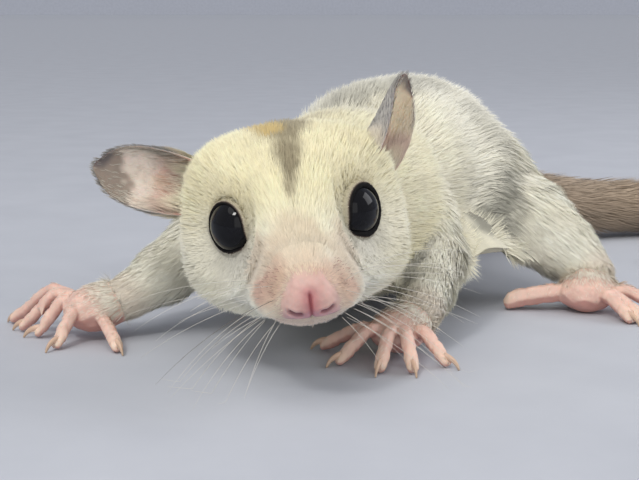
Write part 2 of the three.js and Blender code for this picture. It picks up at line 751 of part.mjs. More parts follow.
const locksOfRow = (row, swell = 0) =>
  Array.from({ length: LOCKS_AROUND }, (_, place) => lock(row, place, swell));
const tail = Array.from({ length: TAIL_LENGTHS }, (_, i) => {
  const rowsEach = LOCK_ROWS / TAIL_LENGTHS;
  const firstRow = i * rowsEach;
  const gap = GAP / tailLength;
  const span = { from: i / TAIL_LENGTHS + (i ? gap : 0), to: (i + 1) / TAIL_LENGTHS - gap };
  const coreRadius = (t) => tailRadius(t) * (TAIL_CORE + 0.35 * Math.exp(-((t / 0.05) ** 2)));
  let body = solid(tube(TAIL_POINTS, coreRadius, { rings: 8, sides: 10, ...span }));
  for (let row = firstRow; row < firstRow + rowsEach; row++) {
    body = join(body, ...locksOfRow(row));
  }
  for (let row = firstRow - 2; i > 0 && row < firstRow; row++) {
    for (const tip of locksOfRow(row, GAP)) {
      body = body.subtract(tip);
    }
  }
  return clearOfFloor(body.subtract(torsoEnvelope));
});

const glider = new THREE.Group();
glider.add(
  headGroup,
  node("neck", neck, FUR),
  node("torso", torso, FUR),
  node("upper_arm_left", armLeft.upper, FUR),
  node("forearm_left", armLeft.lower, FUR),
  node("hand_left", handLeft, SKIN),
  node("upper_arm_right", armRight.upper, FUR),
  node("forearm_right", armRight.lower, FUR),
  node("hand_right", handRight, SKIN),
  node("thigh_left", legLeft.upper, FUR),
  node("shin_left", legLeft.lower, FUR),
  node("foot_left", footLeft, SKIN),
  node("thigh_right", legRight.upper, FUR),
  node("shin_right", legRight.lower, FUR),
  node("foot_right", footRight, SKIN),
  node("membrane_left", membraneLeft, FUR),
  node("membrane_right", membraneRight, FUR),
  ...tail.map((body, i) => node(`tail_${i + 1}`, body, FUR)),
);

// The part's origin is the middle of its footprint, on the floor.
const bounds = new THREE.Box3().setFromObject(glider, true);
const middle = bounds.getCenter(V(0, 0, 0));
glider.position.set(-middle.x, -middle.y, 0);

export default glider;
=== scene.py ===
"""A life-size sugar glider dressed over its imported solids.

It adds the skin, coat, eyes, lids, muzzle, ears, hands, feet, claws and whiskers. Places are written in
the drawing's millimetres, with +Z up and the nose towards -Y, and are brought into the part's frame by
the centre of the left eye. Places on the head are in the head's own frame.
"""
import math

import bmesh
import bpy
import numpy as np
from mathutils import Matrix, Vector
from mathutils.kdtree import KDTree


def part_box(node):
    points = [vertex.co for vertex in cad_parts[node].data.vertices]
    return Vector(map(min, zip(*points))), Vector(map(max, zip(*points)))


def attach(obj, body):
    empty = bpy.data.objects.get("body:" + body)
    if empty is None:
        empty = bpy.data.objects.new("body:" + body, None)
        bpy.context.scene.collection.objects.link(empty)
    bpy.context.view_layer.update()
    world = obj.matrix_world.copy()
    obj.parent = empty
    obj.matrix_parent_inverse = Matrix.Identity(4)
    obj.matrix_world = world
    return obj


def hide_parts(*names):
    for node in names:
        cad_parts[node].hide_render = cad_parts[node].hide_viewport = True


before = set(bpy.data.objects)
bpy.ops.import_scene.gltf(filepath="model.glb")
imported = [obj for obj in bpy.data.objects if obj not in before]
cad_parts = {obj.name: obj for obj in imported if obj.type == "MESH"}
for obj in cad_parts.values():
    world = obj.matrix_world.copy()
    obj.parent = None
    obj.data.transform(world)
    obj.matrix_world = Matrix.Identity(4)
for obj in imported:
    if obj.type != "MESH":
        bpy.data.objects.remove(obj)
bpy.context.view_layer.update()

MM = 0.001
TINT = "Tint"
UNWRAP = "OFBake"
chance = np.random.default_rng(7)

# Places

HEAD_AT = np.array([-3.2, -25.5, 21.9])
HEAD_YAW = math.radians(4.3)
HEAD_ROLL = math.radians(-6.9)
EYE_RADIUS = 4.5
EYE_SIDE = 6.9
EYE_DEPTH = 2.6
EYE_OUTWARD = math.radians(49)
EYE_UPWARD = math.radians(3)


def head_turn():
    yaw = np.array(
        [
            [math.cos(HEAD_YAW), -math.sin(HEAD_YAW), 0],
            [math.sin(HEAD_YAW), math.cos(HEAD_YAW), 0],
            [0, 0, 1],
        ]
    )
    roll = np.array(
        [
            [math.cos(HEAD_ROLL), 0, math.sin(HEAD_ROLL)],
            [0, 1, 0],
            [-math.sin(HEAD_ROLL), 0, math.cos(HEAD_ROLL)],
        ]
    )
    return yaw @ roll


HEAD_TURN = head_turn()


def from_head(points):
    return HEAD_AT + np.asarray(points, float) @ HEAD_TURN.T


def to_head(points):
    return (np.asarray(points, float) - HEAD_AT) @ HEAD_TURN


def eye_centre(side):
    return from_head([side * EYE_SIDE, EYE_DEPTH, 0])


def eye_axis(side):
    level = math.cos(EYE_UPWARD)
    axis = [side * math.sin(EYE_OUTWARD) * level, -math.cos(EYE_OUTWARD) * level, math.sin(EYE_UPWARD)]
    return HEAD_TURN @ np.array(axis)


eye_low, eye_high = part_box("eye_left")
SHIFT = np.array(eye_low + eye_high) / 2 / MM - eye_centre(1)


def placed(points):
    return (np.asarray(points, float) + SHIFT) * MM


def drawn(points):
    return np.asarray(points, float) / MM - SHIFT


# Small tools


def unit(v):
    return v / np.maximum(np.linalg.norm(v, axis=-1, keepdims=True), 1e-9)


def dot(a, b):
    return (a * b).sum(-1, keepdims=True)


def mix(a, b, t):
    return a + (b - a) * t


def stain(colour, tone, share):
    """Colours with a tone laid over them, as strongly as each point's share says."""
    return mix(colour, tone, share[:, None])


def ease(t):
    t = np.clip(t, 0, 1)
    return t * t * (3 - 2 * t)


WAVE_COUNT = 14
WAVE_PITCH = 2.6
WAVE_GAIN = 2.4
WAVES = chance.normal(size=(WAVE_COUNT, 3))
WAVES = unit(WAVES) * chance.uniform(0.6, 1.6, (WAVE_COUNT, 1))
WAVE_STARTS = chance.uniform(0, 2 * math.pi, WAVE_COUNT)


def ripple(points, scale):
    """Smooth noise from about -1 to 1, with features about scale millimetres across."""
    phase = points @ WAVES.T * (WAVE_PITCH / scale) + WAVE_STARTS
    return np.sin(phase + 0.8 * np.sin(phase[:, ::-1])).mean(1) * WAVE_GAIN


def deselect():
    bpy.ops.object.select_all(action="DESELECT")


def make_active(piece):
    deselect()
    piece.select_set(True)
    bpy.context.view_layer.objects.active = piece


def apply_modifier(piece, kind, **settings):
    make_active(piece)
    modifier = piece.modifiers.new(kind.title(), kind)
    for key, value in settings.items():
        setattr(modifier, key, value)
    bpy.ops.object.modifier_apply(modifier=modifier.name)


def new_piece(name, points, faces):
    """A smooth mesh piece from points in the drawing's millimetres."""
    mesh = bpy.data.meshes.new(name)
    mesh.from_pydata(placed(points).tolist(), [], [list(map(int, f)) for f in faces])
    mesh.update()
    piece = bpy.data.objects.new(name, mesh)
    bpy.context.scene.collection.objects.link(piece)
    mesh.shade_smooth()
    return piece


def points_of(piece):
    flat = np.zeros(len(piece.data.vertices) * 3, np.float32)
    piece.data.vertices.foreach_get("co", flat)
    return drawn(flat.reshape(-1, 3))


def normals_of(piece):
    flat = np.zeros(len(piece.data.vertices) * 3, np.float32)
    piece.data.vertices.foreach_get("normal", flat)
    return flat.reshape(-1, 3).astype(float)


def set_points(piece, points):
    piece.data.vertices.foreach_set("co", placed(points).astype(np.float32).ravel())
    piece.data.update()


def face_outwards(piece):
    work = bmesh.new()
    work.from_mesh(piece.data)
    bmesh.ops.recalc_face_normals(work, faces=work.faces)
    work.to_mesh(piece.data)
    work.free()


def finish_piece(piece, material, slot, *nodes):
    """The piece's finish, smooth shading and body, and hiding the solids that it stands for; slot is not
    used.
    """
    piece.data.materials.append(material)
    piece.data.shade_smooth()
    if nodes:
        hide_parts(*nodes)
    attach(piece, "root")


def paint(piece, colours):
    layer = piece.data.color_attributes.new(name=TINT, type="FLOAT_COLOR", domain="POINT")
    rgba = np.ones((len(colours), 4), np.float32)
    rgba[:, :3] = np.clip(colours, 0, 1)
    layer.data.foreach_set("color", rgba.ravel())


def tube_points(path, radii, sides):
    """Rings of points round a path."""
    path = np.asarray(path, float)
    tangents = unit(np.gradient(path, axis=0))
    up = np.array([0.0, 0.0, 1.0]) if abs(tangents[0][2]) < 0.9 else np.array([1.0, 0.0, 0.0])
    rings = []
    for point, tangent, radius in zip(path, tangents, radii):
        side = unit(np.cross(tangent, up))
        up = np.cross(side, tangent)
        turns = 2 * math.pi * np.arange(sides) / sides
        rings.append(point + radius * (np.cos(turns)[:, None] * side + np.sin(turns)[:, None] * up))
    return np.array(rings)


def band_faces(rings, sides, start=0):
    """The four-sided faces between rings of points that follow each other."""
    faces = []
    for ring in range(rings - 1):
        for side in range(sides):
            a = start + ring * sides + side
            b = start + ring * sides + (side + 1) % sides
            faces.append([a, a + sides, b + sides, b])
    return faces


def tube_mesh(path, radii, sides):
    """A tube's points, and its faces with a flat one at each end."""
    rings = tube_points(path, radii, sides)
    last = (len(rings) - 1) * sides
    faces = band_faces(len(rings), sides)
    faces.append(list(range(sides)))
    faces.append([last + side for side in reversed(range(sides))])
    return rings.reshape(-1, 3), faces


def piece_of_tubes(name, tubes, material, slot):
    """One piece from many tubes, each given as its points, its faces and its colours."""
    faces, start = [], 0
    for points, made, _ in tubes:
        faces += [[start + corner for corner in face] for face in made]
        start += len(points)
    piece = new_piece(name, np.vstack([tube[0] for tube in tubes]), faces)
    paint(piece, np.vstack([tube[2] for tube in tubes]))
    finish_piece(piece, material, slot)


def curve_through(points, count):
    """An even run of points along a smooth curve through the given ones, spaced by its length."""
    steps = 40
    points = np.asarray(points, float)
    padded = np.vstack([2 * points[0] - points[1], points, 2 * points[-1] - points[-2]])
    dense = []
    for i in range(len(points) - 1):
        p0, p1, p2, p3 = padded[i : i + 4]
        d0, d1, d2 = (max(np.linalg.norm(b - a), 1e-6) ** 0.5 for a, b in ((p0, p1), (p1, p2), (p2, p3)))
        out = ((p1 - p0) / d0 - (p2 - p0) / (d0 + d1) + (p2 - p1) / d1) * d1
        back = ((p2 - p1) / d1 - (p3 - p1) / (d1 + d2) + (p3 - p2) / d2) * d1
        t = np.linspace(0, 1, steps, endpoint=i == len(points) - 2)[:, None]
        dense.append(
            p1 + out * t + (3 * (p2 - p1) - 2 * out - back) * t**2 + (2 * (p1 - p2) + out + back) * t**3
        )
    dense = np.vstack(dense)
    lengths = np.concatenate([[0], np.cumsum(np.linalg.norm(np.diff(dense, axis=0), axis=1))])
    even = np.linspace(0, lengths[-1], count)
    return np.stack([np.interp(even, lengths, dense[:, k]) for k in range(3)], 1)


# Finishes


def shader(name):
    material = bpy.data.materials.new(name)
    material.use_nodes = True
    nodes = material.node_tree.nodes
    return material, nodes, material.node_tree.links, nodes["Principled BSDF"]


def noise_of(nodes, links, coordinates, scale, detail=3.0, rough=0.5):
    noise = nodes.new("ShaderNodeTexNoise")
    noise.inputs["Scale"].default_value = scale
    noise.inputs["Detail"].default_value = detail
    noise.inputs["Roughness"].default_value = rough
    links.new(coordinates, noise.inputs["Vector"])
    return noise


def set_sockets(surface, sockets):
    for key, value in sockets.items():
        surface.inputs[key.replace("_", " ")].default_value = value


RELIEF_DEPTH = 0.0002


def tinted(name, spread, grain, relief=0.0, relief_scale=2500.0, **sockets):
    """A finish whose colour is the piece's own painted tint, broken up by fine noise."""
    material, nodes, links, surface = shader(name)
    tint = nodes.new("ShaderNodeAttribute")
    tint.attribute_name = TINT
    place = nodes.new("ShaderNodeTexCoord").outputs["Object"]
    noise = noise_of(nodes, links, place, grain)
    level = nodes.new("ShaderNodeMapRange")
    level.inputs["To Min"].default_value = 1 - spread
    level.inputs["To Max"].default_value = 1 + spread
    links.new(noise.outputs["Fac"], level.inputs["Value"])
    shade = nodes.new("ShaderNodeVectorMath")
    shade.operation = "SCALE"
    links.new(tint.outputs["Color"], shade.inputs[0])
    links.new(level.outputs["Result"], shade.inputs["Scale"])
    links.new(shade.outputs["Vector"], surface.inputs["Base Color"])
    set_sockets(surface, sockets)
    if relief:
        height = noise_of(nodes, links, place, relief_scale, 4.0, 0.6)
        bumps = nodes.new("ShaderNodeBump")
        bumps.inputs["Strength"].default_value = relief
        bumps.inputs["Distance"].default_value = RELIEF_DEPTH
        links.new(height.outputs["Fac"], bumps.inputs["Height"])
        links.new(bumps.outputs["Normal"], surface.inputs["Normal"])
    return material


def mottled(name, dark, light, scale, detail, **sockets):
    """A finish that drifts between two colours."""
    material, nodes, links, surface = shader(name)
    place = nodes.new("ShaderNodeTexCoord").outputs["Object"]
    noise = noise_of(nodes, links, place, scale, detail)
    ramp = nodes.new("ShaderNodeValToRGB")
    ramp.color_ramp.elements[0].color = (*dark, 1)
    ramp.color_ramp.elements[1].color = (*light, 1)
    links.new(noise.outputs["Fac"], ramp.inputs["Fac"])
    links.new(ramp.outputs["Color"], surface.inputs["Base Color"])
    set_sockets(surface, sockets)
    return material


HAIR = tinted(
    "soft_hair",
    spread=0.1,
    grain=700.0,
    Roughness=0.62,
    Specular_IOR_Level=0.25,
    Sheen_Weight=0.25,
    Sheen_Roughness=0.5,
)
HIDE = tinted(
    "hide_under_the_coat", spread=0.15, grain=500.0, relief=0.5, Roughness=0.85, Specular_IOR_Level=0.15
)
BARE = tinted(
    "bare_skin",
    spread=0.1,
    grain=500.0,
    relief=0.35,
    relief_scale=3200.0,
    Roughness=0.46,
    Specular_IOR_Level=0.45,
    Subsurface_Weight=0.25,
    Subsurface_Scale=0.0012,
    Subsurface_Radius=(1.0, 0.35, 0.25),
)
LID = tinted("lid_skin", spread=0.1, grain=500.0, relief=0.2, Roughness=0.7, Specular_IOR_Level=0.12)
HORN = tinted("claw_horn", spread=0.1, grain=900.0, Roughness=0.3, Specular_IOR_Level=0.5)
WET_EYE = mottled(
    "wet_eye",
    dark=(0.003, 0.003, 0.004),
    light=(0.007, 0.007, 0.010),
    scale=160.0,
    detail=3.0,
    Roughness=0.04,
    Specular_IOR_Level=0.2,
)

# The lines that the hairs follow

ARM_LEFT = [(8, 12, 19), (14, 9, 15.5), (17.4, 4, 11.4), (16.4, -3, 8.4), (15, -9.5, 6), (12, -13.6, 4.2)]
ARM_RIGHT = [(-4, 12, 19), (-11, 11, 17), (-17, 8, 14.4), (-23, 3, 9.8), (-29, -1.5, 6.4), (-34, -2.8, 4.8)]
LEG_LEFT = [(19, 42, 20), (27, 36, 19), (35, 28, 14.5), (41, 24, 10), (45.8, 19.5, 6.4), (44.8, 15.4, 3.4)]
LEG_RIGHT = [(10, 44, 20), (0, 40, 18), (-6, 34, 13), (-7, 41, 9), (-6, 48, 5.4), (-8.6, 41, 3.2)]
ARM_RADII = [8, 7.2, 5.8, 5.2, 4.3, 3.4]
LEG_RADII = [12, 10.4, 7.6, 7.2, 5.6, 3.8]
WRIST = 4
TRUNK = [(-3, -13, 20.5), (4, 10, 19.4), (10, 29, 20.2), (16.5, 43, 20.4), (23.5, 53, 16), (28, 60, 13.6)]
TAIL = [
    (24, 56, 14.5), (40, 73, 11), (58, 86, 7.4), (82, 91, 6.4),
    (101, 82, 6.4), (104, 64, 6.2), (93, 52, 5.6), (76, 56, 3.4),
]
TAIL_POINTS = 90
TAIL_RADIUS = 6.6
TAIL_CORE = 0.55
tail_path = curve_through(TAIL, TAIL_POINTS)


def tail_radius(share):
    full = TAIL_RADIUS * np.minimum(1, 0.86 + 1.6 * share)
    return full * (1 - 0.5 * np.maximum(0, (share - 0.8) / 0.2) ** 2)


tail_shares = np.linspace(0, 1, len(tail_path))

# Along each course: its radii, the hair's length and the coat's depth, in millimetres.
HEAD_LINE = from_head([(0, -15, -7.6), (0, -9, -6), (0, -2, -2.5), (0, 5, 0.5), (0, 12, 1), (0, 22, 0)])
HEAD_RADII, TRUNK_RADII = [2.6, 6, 9.5, 12.5, 13.4, 12.6], [12.6, 14.6, 17.6, 17.8, 10, 7]
HEAD_COAT = [0.9, 1.5, 2.4, 3.2, 3.8, 4.4], [0.35, 0.7, 1.1, 1.4, 1.7, 2.0]
TRUNK_COAT = [4.4, 5.4, 6.2, 6.2, 6.2, 7], [2.0, 2.3, 2.5, 2.5, 2.3, 2.2]
ARM_COAT = [4.6, 4.4, 4, 3.2, 2.5, 1.4], [2, 1.8, 1.5, 1.3, 0.9, 0.2]
LEG_COAT = [5.6, 5.2, 4.6, 3.8, 2.8, 1.4], [2.3, 2.2, 1.8, 1.5, 1.1, 0.2]
TAIL_HAIR = 9.5
COURSES = {
    "head": (HEAD_LINE, HEAD_RADII, *HEAD_COAT),
    "trunk": (TRUNK, TRUNK_RADII, *TRUNK_COAT),
    "arm_left": (ARM_LEFT, ARM_RADII, *ARM_COAT),
    "arm_right": (ARM_RIGHT, ARM_RADII, *ARM_COAT),
    "leg_left": (LEG_LEFT, LEG_RADII, *LEG_COAT),
    "leg_right": (LEG_RIGHT, LEG_RADII, *LEG_COAT),
    "tail": (tail_path, tail_radius(tail_shares), np.full(TAIL_POINTS, TAIL_HAIR), np.zeros(TAIL_POINTS)),
}
COURSE_NAMES = list(COURSES)
COURSE_SHARPNESS = 9


def nearest_on(line, values, points):
    """Distance to a line, the line's direction there, and values read there."""
    line = np.asarray(line, float)
    values = np.asarray(values, float)
    best = np.full(len(points), 1e9)
    heading = np.zeros((len(points), 3))
    read = np.zeros((len(points), values.shape[1]))
    for i in range(len(line) - 1):
        along = line[i + 1] - line[i]
        t = np.clip(((points - line[i]) @ along) / (along @ along), 0, 1)
        gap = np.linalg.norm(points - line[i] - t[:, None] * along, axis=1)
        closer = gap < best
        best[closer] = gap[closer]
        heading[closer] = along / np.linalg.norm(along)
        read[closer] = mix(values[i], values[i + 1], t[closer][:, None])
    return best, heading, read


NOSE = from_head([0, -14.5, -7.0])
CHIN_LIE = HEAD_TURN @ np.array([0, 1.0, 0.12])


def coat_fields(points):
    """Where the hairs lie, how long they are, how deep the coat is, and which course each point is on."""
    lies, lengths, depths, weights = [], [], [], []
    for name, (line, radii, hair, depth) in COURSES.items():
        values = np.stack([np.asarray(radii, float), np.asarray(hair, float), np.asarray(depth, float)], 1)
        gap, heading, read = nearest_on(line, values, points)
        if name == "head":
            under = ease((-8.0 - to_head(points)[:, 2]) / 2.5)[:, None]
            heading = unit(mix(unit(points - NOSE + 0.001), CHIN_LIE, under * 0.9))
        score = gap / read[:, 0]
        weights.append(np.exp(-COURSE_SHARPNESS * score) + 1e-12)
        lies.append(heading)
        lengths.append(read[:, 1])
        depths.append(read[:, 2])
    weights = np.array(weights)
    share = weights / weights.sum(0)
    lie = (np.array(lies) * share[..., None]).sum(0)
    return unit(lie), (np.array(lengths) * share).sum(0), (np.array(depths) * share).sum(0), share


# An eye's opening in degrees from its axis, with the inner corner's reach beyond it and where that fades out.
LID_OPEN = 43
LID_CORNER = math.radians(215)
LID_CORNER_REACH = 13
LID_CORNER_WIDTH = 0.34
LID_FADE = 26


def eye_sides(side):
    """The eye's own directions across its opening: towards the ear's side, and up."""
    axis = eye_axis(side)
    up = HEAD_TURN @ np.array([0, 0, 1.0])
    up = unit(up - (up @ axis) * axis)
    return np.cross(up, axis) * side, up


def corner_reach(turn):
    return LID_CORNER_REACH * np.exp(-((np.angle(np.exp(1j * (turn - LID_CORNER))) / LID_CORNER_WIDTH) ** 2))


def lid_step(points, side):
    """Degrees from the edge of an eye's opening out to a point, and its distance from the eye's centre."""
    rel = points - eye_centre(side)
    flat = unit(rel)
    across, up = eye_sides(side)
    turn = np.arctan2(flat @ up, flat @ across)
    step = np.degrees(np.arccos(np.clip(flat @ eye_axis(side), -1, 1))) - LID_OPEN
    step -= corner_reach(turn) * np.clip(1 - step / LID_FADE, 0, 1)
    return step, np.linalg.norm(rel, axis=1)


def lid_distance(points, side):
    """How far a point is outside the edge of an eye's opening, in millimetres along the face."""
    step, reach = lid_step(points, side)
    return np.radians(step) * np.maximum(reach, EYE_RADIUS), reach


# The coat's markings and painted shade

CREAM = np.array([0.93, 0.86, 0.60])
WHITE = np.array([0.93, 0.90, 0.78])
STRIPE = np.array([0.27, 0.22, 0.135])
GOLD = np.array([0.78, 0.58, 0.22])
GREY = np.array([0.42, 0.41, 0.35])
TAN = np.array([0.62, 0.46, 0.33])
PINK_TAN = np.array([0.66, 0.40, 0.33])
BEIGE = np.array([0.40, 0.31, 0.225])
WRIST_PINK = np.array([0.80, 0.60, 0.50])
EYE_SHADE = np.array([0.20, 0.16, 0.12])
UNDER_SHADE = np.array([0.90, 0.90, 0.88])

# Each mark: the points it runs through with the radius at each, its colour and its strength.
MARKS_AND_PAINTED_SHADE = [
    (
        [
            (-8, -2, 35.5, 5.5), (-6.5, -12, 35.6, 4.9), (-5.6, -18, 33.8, 3.9),
            (-4.4, -24.6, 32.4, 2.5), (-3.9, -28.6, 29.8, 1.5), (-3.6, -32.6, 24.8, 0.7),
        ],
        STRIPE,
        0.85,
    ),
    ([(-2, 2, 33.8, 3.6), (-8, -2, 35.5, 5.0)], STRIPE, 0.35),
    ([(-8.4, -17, 33.8, 2.2), (-6.4, -21.9, 33.1, 1.9)], GOLD, 0.7),
    ([(-7.3, -34.6, 18, 3.2), (-6.8, -37.4, 15.6, 2.8)], TAN, 0.5),
    ([(3.3, -33.7, 19.4, 3.0), (3.6, -37, 16.2, 2.7)], TAN, 0.48),
    ([(-5.6, -39.2, 17.2, 2.0), (-6.6, -38.2, 14.6, 1.9)], PINK_TAN, 0.7),
    ([(1.2, -39.6, 17.6, 1.9), (3.2, -38.8, 15.2, 1.9)], PINK_TAN, 0.7),
    ([(-3.4, -37.2, 11.6, 2.2), (1.6, -37.0, 11.2, 2.2)], PINK_TAN, 0.45),
    ([(-3.4, -35.8, 21.4, 3.2), (-3, -38, 19.4, 3.6)], TAN, 0.42),
    ([(3.4, 20.4, 34.8, 5), (12, 25.7, 37, 5.5), (17, 34, 38, 5.5)], GREY, 0.6),
    ([(7.5, 18.3, 34.9, 3), (4, 8, 33, 3.5)], GREY, 0.3),
    # Painted shade: grey on the left flank, in the fold behind the left arm where the membrane leaves the
    # body, and low between the membrane and the left thigh.
    ([(26.4, 32.2, 32.2, 4.5), (31.2, 27.3, 25.7, 4)], GREY * 0.9, 0.5),
    ([(30.4, 25, 22, 2.6), (28.9, 21.6, 17.8, 4.2), (28.4, 21, 15.4, 3.6)], GREY * 0.62, 0.8),
    (
        [(20.7, 16.8, 27.7, 1.8), (23.4, 18.6, 24.1, 2), (25.4, 21.1, 19.6, 2.2), (25.7, 20.1, 15.5, 2)],
        GREY * 0.75,
        0.6,
    ),
    ([(17.4, 0.5, 16.6, 1.3), (15, -3, 13.4, 1.6), (12.8, -5.9, 10.4, 1.4)], GREY * 0.7, 0.65),
]


def mark_share(points, path):
    path = np.array(path, float)
    gap, _, radius = nearest_on(path[:, :3], path[:, 3:], points)
    edge = 1 - gap / radius[:, 0] + 0.28 * ripple(points, 2.2) + 0.12 * ripple(points, 0.8)
    return ease(0.5 + edge * 1.1)


def coat_colour(points, share):
    """The coat's colour at points, with the share of each course that they are on."""
    local = to_head(points)
    head, tail, trunk = (share[COURSE_NAMES.index(name)] for name in ("head", "tail", "trunk"))
    legs = 1 - head - tail - trunk
    height = np.clip((points[:, 2] - 8) / 22, 0, 1)
    crown = head * ease((local[:, 2] + 5) / 9) + trunk * ease((30 - points[:, 1]) / 30) * 0.8
    colour = stain(WHITE, CREAM, np.clip(crown + 0.12 * ripple(points, 7), 0, 1))
    colour = stain(colour, colour * UNDER_SHADE, (1 - height) * trunk * 0.6)
    # The markings, with the painted shade on the left flank among them.
    for path, tone, strength in MARKS_AND_PAINTED_SHADE:
        colour = stain(colour, tone, mark_share(points, path) * strength)
    _, _, along = nearest_on(tail_path, tail_shares[:, None], points)
    along = along[:, 0]
    brown = stain(BEIGE, WHITE, ease((along - 0.74) / 0.2))
    brown = stain(brown, BEIGE * 1.35, (0.5 + 0.5 * ripple(points, 5)).clip(0, 1) * 0.45)
    colour = stain(colour, brown, tail * ease(along / 0.06 + 0.3))
    wrist = np.zeros(len(points))
    for line in (ARM_LEFT, ARM_RIGHT, LEG_LEFT, LEG_RIGHT):
        away = np.linalg.norm(points - np.array(line[WRIST]), axis=1)
        wrist = np.maximum(wrist, ease(1 - (away - 1) / 5))
    colour = stain(colour, WRIST_PINK, wrist * 0.4 * legs)
    for side in (-1, 1):
        out, reach = lid_distance(points, side)
        near = np.exp(-np.maximum(out - 0.4, 0) / 0.8) * (reach < 9)
        colour = stain(colour, EYE_SHADE, near * 0.5)
    return colour * (1 + 0.05 * ripple(points, 3.0)[:, None])


# Skin

SKIN_NODES = [
    "head", "neck", "torso", "upper_arm_left", "upper_arm_right", "forearm_left", "forearm_right",
    "thigh_left", "thigh_right", "shin_left", "shin_right", "membrane_left", "membrane_right",
]
SKIN_VOXEL = 0.00052
SKIN_SMOOTHING = 8
SWELL = 0.28 * MM
WELD = 1e-6


def weld(mesh, swell):
    """Joins the corners that faces share, and moves them out along their normals."""
    work = bmesh.new()
    work.from_mesh(mesh)
    bmesh.ops.remove_doubles(work, verts=work.verts, dist=WELD)
    work.normal_update()
    if swell:
        for vert in work.verts:
            vert.co += vert.normal * swell
    work.to_mesh(mesh)
    work.free()


def joined_copy(name, nodes, swell, voxel, smoothing, *others):
    """One closed surface over copies of the named solids, swollen to run together, and over other pieces."""
    copies = []
    for node in nodes:
        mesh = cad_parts[node].data.copy()
        weld(mesh, swell)
        twin = bpy.data.objects.new(f"{name}_{node}", mesh)
        bpy.context.scene.collection.objects.link(twin)
        copies.append(twin)
    for other in others:
        weld(other.data, 0)
        copies.append(other)
    deselect()
    for twin in copies:
        twin.select_set(True)
    bpy.context.view_layer.objects.active = copies[0]
    if len(copies) > 1:
        bpy.ops.object.join()
    whole = copies[0]
    whole.name = whole.data.name = name
    whole.data.materials.clear()
    apply_modifier(whole, "REMESH", mode="VOXEL", voxel_size=voxel, use_smooth_shade=True)
    apply_modifier(whole, "SMOOTH", factor=0.5, iterations=smoothing)
    while whole.data.attributes.get(UNWRAP):
        whole.data.attributes.remove(whole.data.attributes[UNWRAP])
    return whole


def tail_core():
    path, faces = tube_mesh(tail_path, tail_radius(tail_shares) * TAIL_CORE, 20)
    return new_piece("tail_core", path, faces)


def smooth_values(piece, values, rounds):
    """Averages a value over each vertex's neighbours."""
    edges = np.zeros(len(piece.data.edges) * 2, np.int32)
    piece.data.edges.foreach_get("vertices", edges)
    a, b = edges.reshape(-1, 2).T
    size = len(values)
    count = np.bincount(a, minlength=size) + np.bincount(b, minlength=size) + 1
    columns = values.reshape(size, -1)
    for _ in range(rounds):
        total = columns.copy()
        for k, column in enumerate(columns.T):
            total[:, k] += np.bincount(a, column[b], size) + np.bincount(b, column[a], size)
        columns = total / count[:, None]
    return columns.reshape(values.shape)


skin = joined_copy("skin", SKIN_NODES, SWELL, SKIN_VOXEL, SKIN_SMOOTHING, tail_core())


MUZZLE_EDGE = -10.4
MUZZLE_SINK = 1.5
CHIN_SINK = 1.3
LID_GAP = 0.25
FLOOR_GAP = 0.12


def under_muzzle(points):
    return ease((MUZZLE_EDGE - to_head(points)[:, 1]) / 1.2)


def shrink_skin():
    """Draws the skin in by the coat's depth, under the muzzle and chin, and close round the eyes."""
    points, normals = points_of(skin), normals_of(skin)
    _, _, depth, _ = coat_fields(points)
    for side in (-1, 1):
        out, reach = lid_distance(points, side)
        depth *= np.where(reach < 10, ease((out - 0.5) / 3.5), 1)
    depth = smooth_values(skin, depth, 12)
    depth = np.maximum(depth, MUZZLE_SINK * under_muzzle(points))
    local = to_head(points)
    depth += CHIN_SINK * ease((-8.8 - local[:, 2]) / 1.6) * ease((-1 - local[:, 1]) / 3)
    points = points - normals * depth[:, None]
    points = smooth_values(skin, points, 3)
    for side in (-1, 1):
        step, reach = lid_step(points, side)
        most = 4.76 + 2.9 * ease((step - 11) / 27) + 10 * (step > 46)
        kept = np.clip(reach, EYE_RADIUS + LID_GAP, np.maximum(most, EYE_RADIUS + LID_GAP))
        near = (reach < 8)[:, None]
        points = np.where(near, eye_centre(side) + unit(points - eye_centre(side)) * kept[:, None], points)
    points[:, 2] = np.maximum(points[:, 2], FLOOR_GAP)
    set_points(skin, points)


shrink_skin()


def unwrap_skin():
    make_active(skin)
    bpy.ops.object.mode_set(mode="EDIT")
    bpy.ops.mesh.select_all(action="SELECT")
    bpy.ops.uv.smart_project(angle_limit=math.radians(70), island_margin=0.002)
    bpy.ops.object.mode_set(mode="OBJECT")
    skin.data.uv_layers[0].name = UNWRAP


unwrap_skin()

HIDE_SHADE = 0.82
skin_points = points_of(skin)
skin_normals = smooth_values(skin, normals_of(skin), 4)
skin_lie, skin_length, skin_depth, skin_share = coat_fields(skin_points)
paint(skin, coat_colour(skin_points, skin_share) * HIDE_SHADE)
finish_piece(skin, HIDE, "fur", *SKIN_NODES)

# The coat


def triangles_of(piece):
    mesh = piece.data
    mesh.calc_loop_triangles()
    count = len(mesh.loop_triangles)
    corners = np.zeros(count * 3, np.int32)
    loops = np.zeros(count * 3, np.int32)
    mesh.loop_triangles.foreach_get("vertices", corners)
    mesh.loop_triangles.foreach_get("loops", loops)
    return corners.reshape(-1, 3), loops.reshape(-1, 3)


